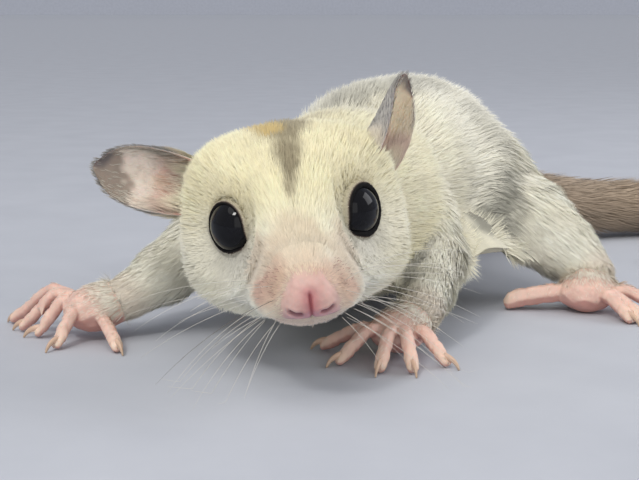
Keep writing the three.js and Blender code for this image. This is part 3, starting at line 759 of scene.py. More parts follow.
def sow(piece, points, density, seed):
    """Roots spread over a piece by area and by a density in hairs to the square millimetre."""
    draw = np.random.default_rng(seed)
    corners, loops = triangles_of(piece)
    a, b, c = (points[corners[:, k]] for k in range(3))
    area = np.linalg.norm(np.cross(b - a, c - a), axis=1) / 2
    weight = area * density[corners].mean(1)
    count = int(weight.sum())
    picks = np.searchsorted(np.cumsum(weight) / weight.sum(), draw.random(count))
    picks = np.minimum(picks, len(weight) - 1)
    u, v = draw.random((2, count))
    over = u + v > 1
    u[over], v[over] = 1 - u[over], 1 - v[over]
    shares = np.stack([1 - u - v, u, v], 1)
    layer = piece.data.uv_layers.get(UNWRAP)
    places = None
    if layer:
        flat = np.zeros(len(layer.data) * 2, np.float32)
        layer.data.foreach_get("uv", flat)
        flat = flat.reshape(-1, 2)
        places = (flat[loops[picks]] * shares[..., None]).sum(1)

    def read(values):
        found = values[corners[picks]]
        return (found * shares[..., None]).sum(1) if values.ndim == 2 else (found * shares).sum(1)

    return read, places, draw


def gathered(roots, tips, every, pull, draw):
    """Draws the tips of neighbouring hairs together into tufts."""
    heads = draw.choice(len(roots), max(1, len(roots) // every), replace=False)
    tree = KDTree(len(heads))
    for i, h in enumerate(heads):
        tree.insert(roots[h], i)
    tree.balance()
    nearest = np.array([tree.find(p)[1] for p in roots])
    target = tips[heads[nearest]]
    return mix(tips, target, pull[:, None])


def spread(flat):
    """Places on a flat unwrap, from 0.02 to 0.98."""
    low, high = flat.min(0), flat.max(0)
    return 0.02 + 0.96 * (flat - low) / (high - low)


# A hair is a four-sided face up to its bend and a three-sided one to its tip, and so is its unwrapped patch.
MOST_HAIRS = 66000
HAIR_POINTS = 5
HAIR_CORNERS = [0, 2, 3, 1, 2, 4, 3]
HAIR_FACES = [0, 4]
# Painted shade and light along each hair: darker at its root, lighter at its tip.
HAIR_ROOT_SHADE_TIP_LIGHT = np.array([0.88, 0.88, 0.98, 0.98, 1.05])
HALF_PATCH = 0.0015
PATCH = HALF_PATCH * np.array([[-1, -1], [-1, 0], [1, 0], [1, -1], [-1, 0], [0, 1], [1, 0]])
LOWER_SHARE, UPPER_SHARE = 0.46, 0.54
ROOT_WIDTH = 0.8
TUFT = 7
HAIR_FLOOR_GAP = 0.06



def hair_piece(label, points, shading, colours, places):
    """One piece of hairs, from five points for each with their shading normals and colours."""
    count = len(points)
    mesh = bpy.data.meshes.new(label)
    mesh.vertices.add(count * HAIR_POINTS)
    mesh.vertices.foreach_set("co", placed(points.reshape(-1, 3)).astype(np.float32).ravel())
    mesh.loops.add(count * len(HAIR_CORNERS))
    mesh.polygons.add(count * len(HAIR_FACES))
    each = np.arange(count)[:, None]
    corners = each * HAIR_POINTS + np.array([HAIR_CORNERS])
    mesh.loops.foreach_set("vertex_index", corners.ravel().astype(np.int32))
    starts = each * len(HAIR_CORNERS) + np.array([HAIR_FACES])
    mesh.polygons.foreach_set("loop_start", starts.ravel().astype(np.int32))
    mesh.update(calc_edges=True)
    layer = mesh.uv_layers.new(name=UNWRAP)
    uv = np.clip(places[:, None, :], HALF_PATCH, 1 - HALF_PATCH) + PATCH[None]
    layer.data.foreach_set("uv", uv.astype(np.float32).ravel())
    piece = bpy.data.objects.new(label, mesh)
    bpy.context.scene.collection.objects.link(piece)
    mesh.shade_smooth()
    mesh.normals_split_custom_set_from_vertices(shading.reshape(-1, 3).tolist())
    paint(piece, colours.reshape(-1, 3))
    mesh.materials.append(HAIR)
    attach(piece, "root")
    return piece


def grow(name, roots, normals, lies, lengths, widths, lifts, colours, places, draw):
    """Hair pieces from roots, with a number or one value for each hair as length, width and lift."""
    count = len(roots)
    lies = unit(lies - dot(lies, normals) * normals)
    lean = draw.normal(0, 0.12, (count, 1))
    across = np.cross(lies, normals)
    lies = unit(lies + across * lean)
    across = np.cross(lies, normals)
    lengths = lengths * draw.uniform(0.75, 1.12, count)
    lifts = lifts * draw.uniform(0.75, 1.2, count)
    low, high = lifts * 1.35, lifts * 0.62
    first = lies * np.cos(low)[:, None] + normals * np.sin(low)[:, None]
    last = lies * np.cos(high)[:, None] + normals * np.sin(high)[:, None]
    middle = roots + first * (lengths * LOWER_SHARE)[:, None]
    tips = middle + last * (lengths * UPPER_SHARE)[:, None]
    pull = draw.uniform(0.05, 0.45, count)
    tips = gathered(roots, tips, TUFT, pull, draw)
    straight = roots + (tips - roots) * LOWER_SHARE + normals * (lengths * 0.05)[:, None]
    middle = mix(middle, straight, 0.4)
    roll = draw.normal(0, 0.45, (count, 1))
    half_widths = np.broadcast_to(widths, count) / 2
    wide = unit(across * np.cos(roll) + normals * np.sin(roll)) * half_widths[:, None]
    foot = wide * ROOT_WIDTH
    points = np.stack([roots + foot, roots - foot, middle + wide, middle - wide, tips], 1)
    points[..., 2] = np.maximum(points[..., 2], HAIR_FLOOR_GAP)
    flat_normal = unit(np.cross(wide, tips - roots))
    flat_normal *= np.sign(dot(flat_normal, normals))
    shading = unit(normals * 0.78 + flat_normal * 0.22)[:, None, :].repeat(HAIR_POINTS, 1)
    # Each hair's own random tone, times the painted shade and light from root to tip.
    tone = draw.normal(1, 0.05, (count, 1, 1)) * HAIR_ROOT_SHADE_TIP_LIGHT[None, :, None]
    colours = np.clip(colours[:, None, :] * tone, 0, 0.97)
    pieces = max(1, math.ceil(count / MOST_HAIRS))
    made = []
    for part, block in enumerate(np.array_split(np.arange(count), pieces)):
        label = name if pieces == 1 else f"{name}_{part + 1}"
        made.append(hair_piece(label, points[block], shading[block], colours[block], places[block]))
    return made


THICKNESS = 13


def coat_widths(lengths):
    width = np.interp(lengths, [0.5, 1.5, 3, 5, 9.5], [0.065, 0.09, 0.115, 0.14, 0.2])
    return width


def coat_the_skin():
    length = skin_length.copy()
    width = coat_widths(length)
    density = THICKNESS / (width * length)
    density *= 1 - under_muzzle(skin_points)
    for side in (-1, 1):
        out, reach = lid_distance(skin_points, side)
        rim = density * ease((out - 0.22) / 0.25) * mix(3.2, 1, ease(out / 3))
        density = np.where(reach < 9, rim, density)
        length = np.where(reach < 9, length * mix(0.24, 1, ease((out - 0.3) / 6)), length)
    read, places, draw = sow(skin, skin_points, density, 11)
    lie = skin_lie.copy()
    for side in (-1, 1):
        rel = skin_points - eye_centre(side)
        away = unit(rel - dot(rel, eye_axis(side)) * eye_axis(side))
        out, reach = lid_distance(skin_points, side)
        near = np.where(reach < 10, ease(1 - (out - 1) / 4), 0)[:, None] * 0.75
        lie = unit(mix(lie, away, near))
    roots = read(skin_points)
    normals = unit(read(skin_normals))
    lengths = read(length)
    share = np.stack([read(s) for s in skin_share])
    depth = np.maximum(read(skin_depth), 0.25)
    tail = share[COURSE_NAMES.index("tail")]
    depth = mix(depth, 3.0, tail)
    lift = np.arcsin(np.clip(depth / lengths * 0.95, 0.1, 0.55))
    order = np.argsort(share.argmax(0), kind="stable")
    colours = coat_colour(roots, share)
    fields = [roots, normals, unit(read(lie)), lengths, read(width), lift, colours, places]
    return grow("coat", *(field[order] for field in fields), draw)


coat = coat_the_skin()
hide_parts("tail_1", "tail_2", "tail_3")

# Eyes and lids


CORNEA_RISE = 0.22
CORNEA_FROM = 0.62


def make_eye(name, node, side):
    centre, axis = eye_centre(side), eye_axis(side)
    deselect()
    bpy.ops.mesh.primitive_uv_sphere_add(
        segments=72, ring_count=44, radius=EYE_RADIUS * MM, location=placed(centre)
    )
    eye = bpy.context.active_object
    bpy.ops.object.transform_apply(location=True, rotation=True, scale=True)
    eye.name = eye.data.name = name
    points = points_of(eye)
    out = unit(points - centre)
    points += out * (CORNEA_RISE * ease((out @ axis - CORNEA_FROM) / (1 - CORNEA_FROM)))[:, None]
    set_points(eye, points)
    eye.data.materials.clear()
    finish_piece(eye, WET_EYE, "eye", node)


make_eye("ball_left", "eye_left", 1)
make_eye("ball_right", "eye_right", -1)

LID_BLACK = (0.006, 0.005, 0.005)
LID_FUR = (0.68, 0.59, 0.45)

# The lid's section: degrees outside the opening, distance from the eye's centre in millimetres, and tone.
LID_SECTION = [
    (0.0, 4.44, LID_BLACK),
    (0.6, 4.60, LID_BLACK),
    (1.4, 4.72, LID_BLACK),
    (2.6, 4.80, (0.010, 0.008, 0.008)),
    (4.2, 4.84, (0.08, 0.058, 0.048)),
    (6.4, 4.82, (0.46, 0.40, 0.31)),
    (12.0, 4.72, (0.64, 0.58, 0.43)),
    (20.0, 4.60, LID_FUR),
    (27.0, 4.50, LID_FUR),
]
LID_TURNS = 96
LID_THICKNESS = 0.25 * MM
LID_HAIRS = 90
HAIR_SHARE = 1


def lid_faces():
    faces = []
    for row in range(len(LID_SECTION) - 1):
        for i in range(LID_TURNS):
            a = row * LID_TURNS + i
            b = row * LID_TURNS + (i + 1) % LID_TURNS
            faces.append([a, b, b + LID_TURNS, a + LID_TURNS])
    return faces


def lid_hair(name, lid, side, step):
    points, normals = points_of(lid), normals_of(lid)
    axis = eye_axis(side)
    rel = points - eye_centre(side)
    outer = (dot(normals, unit(rel))[:, 0] > 0.3) & (step < 26)
    density = LID_HAIRS * ease((step - 3.6) / 2.5) * outer * HAIR_SHARE
    read, _, draw = sow(lid, points, density, 71 + side)
    roots = read(points)
    away = unit(read(rel - dot(rel, axis) * axis))
    _, _, _, share = coat_fields(roots)
    lengths = mix(0.45, 1.0, np.clip((read(step) - 4) / 10, 0, 1))
    colours, places = coat_colour(roots, share), spread(roots[:, [0, 2]])
    grow(name, roots, unit(read(normals)), away, lengths, 0.055, 0.2, colours, places, draw)


def make_lids(name, side):
    centre, axis = eye_centre(side), eye_axis(side)
    across, up = eye_sides(side)
    turns = 2 * math.pi * np.arange(LID_TURNS) / LID_TURNS
    flat = np.cos(turns)[:, None] * across + np.sin(turns)[:, None] * up
    points = []
    for step, radius, _ in LID_SECTION:
        angle = np.radians(LID_OPEN + step + corner_reach(turns) * max(0, 1 - step / LID_FADE))[:, None]
        wobble = (1 + 0.006 * np.sin(9 * turns + step) + 0.004 * np.sin(23 * turns))[:, None]
        points.append(centre + radius * wobble * (np.cos(angle) * axis + np.sin(angle) * flat))
    lid = new_piece(name, np.vstack(points), lid_faces())
    apply_modifier(lid, "SOLIDIFY", thickness=LID_THICKNESS, offset=-1)
    apply_modifier(lid, "SUBSURF", levels=1, render_levels=1)
    face_outwards(lid)
    step, _ = lid_step(points_of(lid), side)
    steps = [row[0] for row in LID_SECTION]
    tones = np.array([row[2] for row in LID_SECTION])
    paint(lid, np.stack([np.interp(step, steps, tones[:, k]) for k in range(3)], 1))
    finish_piece(lid, LID, "bare_skin")
    lid_hair(name + "_hair", lid, side, step)


make_lids("lids_left", 1)
make_lids("lids_right", -1)

# Muzzle and nose


def blob(centre, radii):
    centre, radii = np.array(centre, float), np.array(radii, float)

    def field(p):
        q = (p - centre) / radii
        k = np.linalg.norm(q, axis=1)
        g = np.linalg.norm(q / radii, axis=1)
        return k * (k - 1) / np.maximum(g, 1e-9)

    return field


def bone(start, end, thick, thin):
    start, end = np.array(start, float), np.array(end, float)
    along = end - start

    def field(p):
        t = np.clip((p - start) @ along / (along @ along), 0, 1)
        return np.linalg.norm(p - start - t[:, None] * along, axis=1) - mix(thick, thin, t)

    return field


def melt(softness, *fields):
    def field(p):
        total = fields[0](p)
        for other in fields[1:]:
            value = other(p)
            h = np.maximum(softness - np.abs(total - value), 0) / softness
            total = np.minimum(total, value) - h * h * softness / 4
        return total

    return field


EYE_FLAT = 15
EYE_FLAT_CENTRE = (20.01, -8.8, 2.13)


def carved(field, softness, *cutters):
    def cut(p):
        value = field(p)
        for cutter in cutters:
            other = cutter(p)
            h = np.maximum(softness - np.abs(value + other), 0) / softness
            value = np.maximum(value, -other) + h * h * softness / 4
        return value

    return cut


def pair(make, place, *rest):
    x, y, z = place
    return make((x, y, z), *rest), make((-x, y, z), *rest)


SKULL_FIELD = melt(
    5,
    blob((0, 10, 1), (13.8, 15, 11.6)),
    *pair(blob, (8.6, 10, 4.6), (5.4, 7.5, 5.6)),
    *pair(blob, (8.8, 8, -4.8), (7.2, 10.5, 7.2)),
    bone((0, 2, -1.5), (0, -8.2, -6.4), 9.4, 5.8),
)
JOWL_FIELD = melt(
    3,
    bone((7, 5, -6.4), (2.6, -7, -8.2), 6.6, 4.1),
    bone((-7, 5, -6.4), (-2.6, -7, -8.2), 6.6, 4.1),
)
SNOUT_FIELD = melt(
    1.6,
    bone((0, -7, -6.2), (0, -12.6, -7.5), 5.8, 3.5),
    *pair(blob, (3.1, -9.6, -8.5), (3.3, 4.6, 2.8)),
    blob((0, -13.5, -7.5), (3.5, 2.7, 2.5)),
    blob((0, -7.4, -9.9), (3.6, 5.8, 2)),
)
MUZZLE_FIELD = carved(
    melt(3, SKULL_FIELD, JOWL_FIELD, SNOUT_FIELD),
    2,
    *pair(blob, EYE_FLAT_CENTRE, (EYE_FLAT, EYE_FLAT, EYE_FLAT)),
)
MUZZLE_HEART = np.array([0, -7.5, -7.0])
MUZZLE_CENTRE = np.array([0, -8.6, -7.0])
MUZZLE_REACH = 14.0
MUZZLE_RINGS, MUZZLE_SIDES = 90, 150
MUZZLE_TILT = 84
HALVINGS = 24
NOSTRIL = [(1.55, -16.3, -9.3), (1.95, -15.8, -9.25), (2.5, -15.0, -8.7)]
NOSE_PINK = np.array([0.62, 0.38, 0.345])
NOSE_DEEP = np.array([0.50, 0.17, 0.18])
NOSE_PLUM = np.array([0.46, 0.27, 0.33])
NOSTRIL_SHADE = np.array([0.22, 0.07, 0.10])
CLEFT_SHADE = np.array([0.30, 0.06, 0.08])
MUZZLE_PALE = np.array([0.72, 0.51, 0.40])
MUZZLE_WARM = np.array([0.80, 0.60, 0.43])
SPECK_TONE = np.array([0.20, 0.09, 0.08])
SPECK_RADIUS = 0.32
WHISKER_ROOT_TONE = np.array([0.46, 0.27, 0.22])


def surface_reach(rays, start):
    """How far along each ray from a point inside the muzzle its surface is."""
    near, far = np.zeros(len(rays)), np.full(len(rays), MUZZLE_REACH)
    for _ in range(HALVINGS):
        mid = (near + far) / 2
        inside = MUZZLE_FIELD(start + rays * mid[:, None]) < 0
        near, far = np.where(inside, mid, near), np.where(inside, far, mid)
    return near


def on_muzzle(local):
    """The point of the muzzle's surface on the ray from its heart through a point."""
    ray = unit(np.asarray(local, float) - MUZZLE_HEART)
    return MUZZLE_HEART + ray * surface_reach(ray[None], MUZZLE_HEART)[0]


SPECKS = [
    [side * (3.3 + 0.68 * column + 0.12 * row), -12.6 + 1.3 * column, -4.1 - 0.8 * row]
    for side in (-1, 1)
    for row in range(4)
    for column in range(2)
]


def with_specks(local, colour, strength):
    """Dark specks where the whiskers leave the pads of the lip."""
    for spot in SPECKS:
        away = np.linalg.norm((local - on_muzzle(spot)) * [1, 0.6, 1], axis=1)
        colour = stain(colour, SPECK_TONE, strength * np.exp(-((away / SPECK_RADIUS) ** 2)))
    return colour


def muzzle_rays():
    """Rays that open from straight ahead out to the muzzle's rim."""
    angles = np.radians(MUZZLE_TILT) * np.linspace(0.0, 1, MUZZLE_RINGS) ** 1.05
    turns = 2 * math.pi * np.arange(MUZZLE_SIDES) / MUZZLE_SIDES
    a, t = np.meshgrid(angles[1:], turns, indexing="ij")
    rays = np.stack([np.sin(a) * np.cos(t), -np.cos(a), np.sin(a) * np.sin(t)], -1).reshape(-1, 3)
    return np.vstack([[0, -1, 0], rays])


def muzzle_faces():
    tip = [[0, 1 + i, 1 + (i + 1) % MUZZLE_SIDES] for i in range(MUZZLE_SIDES)]
    return tip + band_faces(MUZZLE_RINGS - 1, MUZZLE_SIDES, 1)


def face_forwards(piece):
    """Turns an open piece's faces the same way round, with most of them looking ahead."""
    work = bmesh.new()
    work.from_mesh(piece.data)
    bmesh.ops.recalc_face_normals(work, faces=work.faces)
    if sum(face.normal.y for face in work.faces) > 0:
        bmesh.ops.reverse_faces(work, faces=work.faces)
    work.to_mesh(piece.data)
    work.free()


def muzzle_colour(flat, points, share, bare, pit, cleft):
    """The muzzle's colours, from its points before and after the nose is modelled in them."""
    x, _, z = flat.T
    soft = ease(1 - (np.linalg.norm((points - [0, -15.2, -6.8]) / [1.2, 1, 1.15], axis=1) - 3.2) / 4.0)
    soft *= ease((z + 10.8) / 1.4)
    # Painted shade: the muzzle's skin under its short hair is the coat's colour darkened, as the hide is
    # under the coat.
    colour = stain(coat_colour(from_head(points), share) * 0.84, MUZZLE_PALE, 0.85 * soft)
    colour = stain(colour, NOSE_PINK, soft * (0.25 + 0.5 * bare))
    colour = with_specks(points, colour, 0.8)
    middle = np.exp(-((x / 1.25) ** 2)) * ease((-5.0 - z) / 1.6) * bare
    colour = stain(colour, NOSE_DEEP, middle * 0.8)
    colour = stain(colour, NOSE_PLUM, ease((-8.4 - z) / 1.2) * bare * 0.55)
    # Painted shade in the nostrils and down the cleft of the nose.
    colour = stain(colour, NOSTRIL_SHADE, np.clip(pit * 1.05, 0, 1))
    colour = stain(colour, CLEFT_SHADE, np.clip(cleft * 1.8, 0, 1))
    return colour * (1 + 0.06 * ripple(points * 2, 1.2)[:, None])


def make_muzzle():
    rays = muzzle_rays()
    flat = MUZZLE_CENTRE + rays * surface_reach(rays, MUZZLE_CENTRE)[:, None]
    tilt = np.degrees(np.arccos(np.clip(-rays[:, 1], -1, 1)))
    x, y, z = flat.T
    wide = mix(1.8, 3.8, ease((-3.4 - z) / 4.6))
    bare = (1 - ease((np.abs(x) / wide - 0.74) / 0.5)) * ease((-3.2 - z) / 2.0) * ease((-11.0 - y) / 1.2)
    bare *= ease((z + 10.6) / 0.6)
    _, _, depth, share = coat_fields(from_head(flat))
    sunk = mix(depth, 0.0, bare) + 0.9 * ease((tilt - 70) / 14) + 1.1 * ease((-9.5 - z) / 1.5)
    cleft = 0.40 * np.exp(-((x / 0.22) ** 2)) * ease((-6.1 - z) / 1.0) * (y < -11)
    shallow = 0.24 * np.exp(-((x / 0.9) ** 2)) * ease((-5.4 - z) / 2.0) * ease((z + 11) / 1.5)
    pit = np.zeros(len(flat))
    rim = np.zeros(len(flat))
    for side in (-1, 1):
        path = np.array([on_muzzle(np.array(spot) * [side, 1, 1]) for spot in NOSTRIL])
        gap, _, _ = nearest_on(path, np.zeros((len(path), 1)), flat)
        pit += 0.8 * np.exp(-((gap / 0.36) ** 2))
        rim += 0.13 * np.exp(-(((gap - 0.8) / 0.32) ** 2)) * bare * ease((z + 9.3) / 0.7)
    dome = 0.30 * bare * np.exp(-(((np.abs(x) - 1.9) / 1.2) ** 2)) * np.exp(-(((z + 7.9) / 1.5) ** 2))
    grain = 0.018 * ripple(flat * 3, 1.0) * bare
    points = flat + rays * (dome + rim + grain - sunk - cleft - shallow - pit)[:, None]
    muzzle = new_piece("muzzle", from_head(points), muzzle_faces())
    face_forwards(muzzle)
    paint(muzzle, muzzle_colour(flat, points, share, bare, pit, cleft))
    finish_piece(muzzle, BARE, "bare_skin")
    return muzzle, bare, tilt


def whisker_roots(draw):
    """Short dark hairs in small bunches where the whiskers leave the lip."""
    bunches = [on_muzzle(spot) for spot in SPECKS for _ in range(5)]
    local = np.array(bunches) + draw.normal(0, 0.34, (len(bunches), 3))
    out = unit(local - MUZZLE_HEART)
    back = unit(np.array([0, 1.0, 0.2]) + 0.6 * np.sign(local[:, :1]) * np.array([1.0, 0, 0]))
    normals, lies = out @ HEAD_TURN.T, back @ HEAD_TURN.T
    tones = np.repeat(WHISKER_ROOT_TONE[None], len(local), 0)
    roots = from_head(local)
    grow("whisker_roots", roots, normals, lies, 0.5, 0.085, 0.6, tones, spread(roots[:, [0, 2]]), draw)


def muzzle_hair(muzzle, bare, tilt):
    points = points_of(muzzle)
    lie, length, _, share = coat_fields(points)
    length = length * mix(0.7, 1.3, ease((tilt - 25) / 50))
    width = coat_widths(length)
    local = to_head(points)
    from_nose = np.linalg.norm((local - [0, -15.4, -7.4]) / [1.15, 1, 1], axis=1)
    sparse = 0.16 + 0.84 * ease((from_nose - 3.6) / 2.0)
    density = THICKNESS / (width * length) * sparse * (1 - ease(bare * 1.1))
    density *= ease((MUZZLE_TILT - tilt) / 20)
    read, _, draw = sow(muzzle, points, density, 17)
    roots = read(points)
    share = np.stack([read(s) for s in share])
    warm = ease(1 - (read(from_nose) - 3.2) / 4.2)
    colours = stain(coat_colour(roots, share), MUZZLE_WARM, warm * 0.6)
    colours = with_specks(to_head(roots), colours, 0.9)
    normals, lies = unit(read(normals_of(muzzle))), unit(read(lie))
    places = spread(roots[:, [0, 2]])
    grow("muzzle_hair", roots, normals, lies, read(length), read(width), 0.26, colours, places, draw)
    whisker_roots(draw)


muzzle_hair(*make_muzzle())

# Ears

EARS = {
    "ear_left": dict(
        root=(13.3, 10, 1.4), tip=(18.6, 12.6, 16.7), faces=(0.92, -0.4, 0), curl=0.2, breadth=7, seed=23
    ),
    "ear_right": dict(
        root=(-11.6, 9.6, 3.9),
        tip=(-28, 12.4, 9.8),
        faces=(-0.1, -0.97, 0.1),
        curl=0.24,
        breadth=5.3,
        seed=29,
    ),
}
EAR_LENGTH = 16.4
EAR_ROWS, EAR_COLUMNS = 64, 44


def ear_leaf(shape, u, v):
    """A point on the ear's middle sheet: u from edge to edge, v from the root to the tip."""
    root = np.array(shape["root"], float)
    axis = unit(np.array(shape["tip"], float) - root)
    mouth = np.array(shape["faces"], float)
    mouth = unit(mouth - (mouth @ axis) * axis)
    across = np.cross(axis, mouth)
    half = shape["breadth"] * np.sqrt(np.maximum(1 - ((v - 0.42) / 0.6) ** 2, 0.0004))
    roll = mix(shape["curl"], 0.13, v)
    angle = half * u * roll
    depth = 4.4 * np.maximum(1 - v, 0) ** 0.7
    return (
        root
        + axis * (EAR_LENGTH * v * (1 - 0.06 * u * u))[:, None]
        + across * (np.sin(angle) / roll)[:, None]
        + mouth * ((1 - np.cos(angle)) / roll - depth)[:, None]
    )


def ear_faces():
    """The faces of the ear's front and back sheets and of the rim between them."""
    count = EAR_ROWS * EAR_COLUMNS
    faces = []
    for r in range(EAR_ROWS - 1):
        for c in range(EAR_COLUMNS - 1):
            a = r * EAR_COLUMNS + c
            b = a + EAR_COLUMNS
            faces.append([a, a + 1, b + 1, b])
            faces.append([count + a, count + b, count + b + 1, count + a + 1])
    rim = list(range(EAR_COLUMNS))
    rim += [r * EAR_COLUMNS + EAR_COLUMNS - 1 for r in range(1, EAR_ROWS)]
    rim += [(EAR_ROWS - 1) * EAR_COLUMNS + c for c in range(EAR_COLUMNS - 2, -1, -1)]
    rim += [r * EAR_COLUMNS for r in range(EAR_ROWS - 2, 0, -1)]
    faces += [[a, count + a, count + b, b] for a, b in zip(rim, rim[1:] + rim[:1])]
    return faces


def make_ear(name, shape):
    rows, columns = np.linspace(-0.06, 1, EAR_ROWS), np.linspace(-1, 1, EAR_COLUMNS)
    v, u = np.meshgrid(rows, columns, indexing="ij")
    u, v = u.ravel(), v.ravel()
    sheet = ear_leaf(shape, u, v)
    du = ear_leaf(shape, u + 0.01, v) - ear_leaf(shape, u - 0.01, v)
    dv = ear_leaf(shape, u, v + 0.004) - ear_leaf(shape, u, v - 0.004)
    normal = unit(np.cross(dv, du))
    normal *= np.sign(normal @ np.array(shape["faces"], float))[:, None]
    ridge = 0.16 * np.exp(-(((u - 0.35 - 0.2 * v) / 0.09) ** 2)) * ease(1 - v / 0.85)
    ridge += 0.12 * np.exp(-(((u + 0.45 + 0.1 * v) / 0.08) ** 2)) * ease(1 - v / 0.7)
    hollow = 0.3 * np.exp(-(((u + 0.05) / 0.3) ** 2)) * ease(1 - v / 0.6)
    half = mix(0.46, 0.17, v.clip(0, 1)) * mix(1, 0.75, u * u)
    edge = ease((1 - np.abs(u)) / 0.08) * ease((1 - v) / 0.04)
    half = np.maximum(half * np.sqrt(edge), 0.02)
    front = sheet + normal * (half + ridge - hollow)[:, None]
    back = sheet - normal * half[:, None]
    world = from_head(np.vstack([front, back]))
    ear = new_piece(name + "_leaf", world, ear_faces())
    face_outwards(ear)
    apply_modifier(ear, "SMOOTH", factor=0.5, iterations=2)
    both_u, both_v = np.tile(u, 2), np.tile(v, 2)
    is_back = np.repeat([0.0, 1.0], len(u))
    paint(ear, ear_colour(name, shape, both_u, both_v, is_back, world))
    finish_piece(ear, BARE, "bare_skin", name)
    return ear, both_u, both_v, is_back, np.vstack([normal, -normal]) @ HEAD_TURN.T


EAR_PINK = np.array([0.70, 0.50, 0.42])
EAR_DEEP = np.array([0.56, 0.22, 0.17])
EAR_PALE = np.array([0.86, 0.76, 0.66])
EAR_GREY = np.array([0.13, 0.11, 0.11])
EAR_BROWN = np.array([0.23, 0.18, 0.14])
EAR_ORANGE = np.array([0.68, 0.46, 0.30])
EAR_TAN = np.array([0.84, 0.70, 0.46])
EAR_BACK = np.array([0.36, 0.34, 0.36])


def upper_edge(shape):
    """1 or -1, for the edge of the ear that is the higher one at half its length."""
    edges = from_head(ear_leaf(shape, np.array([1.0, -1.0]), np.array([0.5, 0.5])))
    return 1 if edges[0, 2] > edges[1, 2] else -1


def right_ear_colour(colour, e, v, wave, fine):
    """An orange fold, a pale middle, and a brown and grey tip and upper edge."""
    fold = np.exp(-(((e + 0.05) / 0.25) ** 2)) * ease((v - 0.2) / 0.2) * ease((0.95 - v) / 0.2)
    colour = stain(colour, EAR_ORANGE, fold * 0.55)
    colour = stain(colour, EAR_PALE, ease((v - 0.34 + 0.08 * wave) / 0.22) * 0.72)
    tip = ease((v - 0.66 - 0.08 * e + 0.07 * wave + 0.05 * fine) / 0.12)
    colour = stain(colour, EAR_BROWN, tip * 0.88)
    colour = stain(colour, EAR_BROWN, ease((e - 0.84) / 0.1) * ease((v - 0.2) / 0.2) * 0.8)
    dark = ease((v - 0.86 + 0.04 * wave) / 0.08) * ease((e + 0.2) / 0.4)
    return stain(colour, EAR_GREY, dark * 0.85)


def left_ear_colour(colour, u, v, wave):
    """A tan middle with a dark tip and edges."""
    colour = stain(colour, EAR_TAN, ease((v - 0.34) / 0.25) * 0.8)
    colour = stain(colour, EAR_GREY, ease((v - 0.84 + 0.04 * wave) / 0.1) * 0.85)
    return stain(colour, EAR_GREY, ease((np.abs(u) - 0.86) / 0.1) * ease((v - 0.45) / 0.2) * 0.7)


def ear_colour(name, shape, u, v, is_back, world):
    wave, fine = ripple(world, 2.2), ripple(world, 0.9)
    right = name == "ear_right"
    deep = ease(1 - (v + 0.05 * wave) / (0.46 if right else 0.62))
    colour = stain(np.repeat(EAR_PINK[None], len(u), 0), EAR_DEEP, deep * 0.85)
    if right:
        colour = right_ear_colour(colour, u * upper_edge(shape), v, wave, fine)
    else:
        colour = left_ear_colour(colour, u, v, wave)
    back = stain(EAR_PALE, EAR_BACK, ease((v - 0.25 + 0.1 * wave) / 0.3))
    back = stain(back, EAR_GREY, ease((v - 0.78 + 0.05 * wave) / 0.12) * 0.9)
    return stain(colour, back, is_back) * (1 + 0.06 * fine[:, None])


def ear_hair(name, ear, u, v, is_back, normal):
    points = points_of(ear)
    shape = EARS[name]
    axis = HEAD_TURN @ unit(np.array(shape["tip"], float) - np.array(shape["root"], float))
    margin = ease((np.abs(u) - 0.5) / 0.4)
    length = mix(3.8, 0.9, ease(v / 0.6)) * mix(1, 1.3, margin)
    front_density = 14 * ease(1 - (v - 0.02) / 0.3) + 5 * ease(1.2 - v) + 50 * margin * ease(1.1 - v)
    back_density = 60 * ease(1 - v / 0.8) + 24
    density = mix(front_density, back_density, is_back) * HAIR_SHARE
    read, _, draw = sow(ear, points, density, shape["seed"])
    roots = read(points)
    colours = ear_colour(name, shape, read(u), read(v), read(is_back), roots)
    _, _, _, share = coat_fields(roots)
    pale = coat_colour(roots, share)
    colours = stain(mix(colours, WHITE, 0.35), mix(pale, WHITE, 0.5), ease(1 - read(v) / 0.4))
    places = spread(roots[:, [0, 2]])
    lies = np.repeat(axis[None], len(roots), 0)
    normals, lengths = unit(read(normal)), read(length)
    grow(name + "_hair", roots, normals, lies, lengths, 0.09, 0.28, colours, places, draw)


for ear_name, ear_shape in EARS.items():
    ear_hair(ear_name, *make_ear(ear_name, ear_shape))

# Hands and feet

DIGIT_RADIUS = 0.92
HAND_RADII = [DIGIT_RADIUS] * 5
FOOT_RADII = [1.5] + [DIGIT_RADIUS] * 4
TIP_HEIGHT = 0.9
PAWS = {
    "hand_left": dict(
        sole=(11.4, -14, 3.9),
        tips=[(0.2, -10.5), (2.4, -19.4), (8.2, -23.6), (13, -23.9), (18.2, -20.4)],
        radii=HAND_RADII,
        wrist=ARM_LEFT[WRIST],
    ),
    "hand_right": dict(
        sole=(-34.5, -3, 4.6),
        tips=[(-29.4, -12.4), (-39.2, -10.6), (-43.6, -3), (-46.8, 1.2), (-49.4, 6.6)],
        radii=HAND_RADII,
        wrist=ARM_RIGHT[WRIST],
    ),
    "foot_left": dict(
        sole=(44.6, 15, 3.2),
        tips=[(31, 16.6), (50, 5.4), (52.4, 6.4), (57.6, 10.2), (57.2, 16)],
        radii=FOOT_RADII,
        wrist=LEG_LEFT[WRIST],
    ),
    "foot_right": dict(
        sole=(-9, 40, 3),
        tips=[(1.6, 31.5), (-8, 29.6), (-10.4, 28.8), (-14.8, 28.2), (-18.6, 32)],
        radii=FOOT_RADII,
        wrist=LEG_RIGHT[WRIST],
    ),
}
PAW_VOXEL = 0.00021
PAW_SMOOTHING = 6
HAND_PINK = np.array([0.80, 0.54, 0.45])
HAND_TIP = np.array([0.88, 0.66, 0.52])
HAND_BACK = np.array([0.86, 0.68, 0.56])
HAND_UNDER_SHADE = np.array([0.56, 0.26, 0.22])
HAND_CREASE_SHADE = np.array([0.62, 0.31, 0.27])
HAND_HAIR = np.array([0.84, 0.70, 0.60])


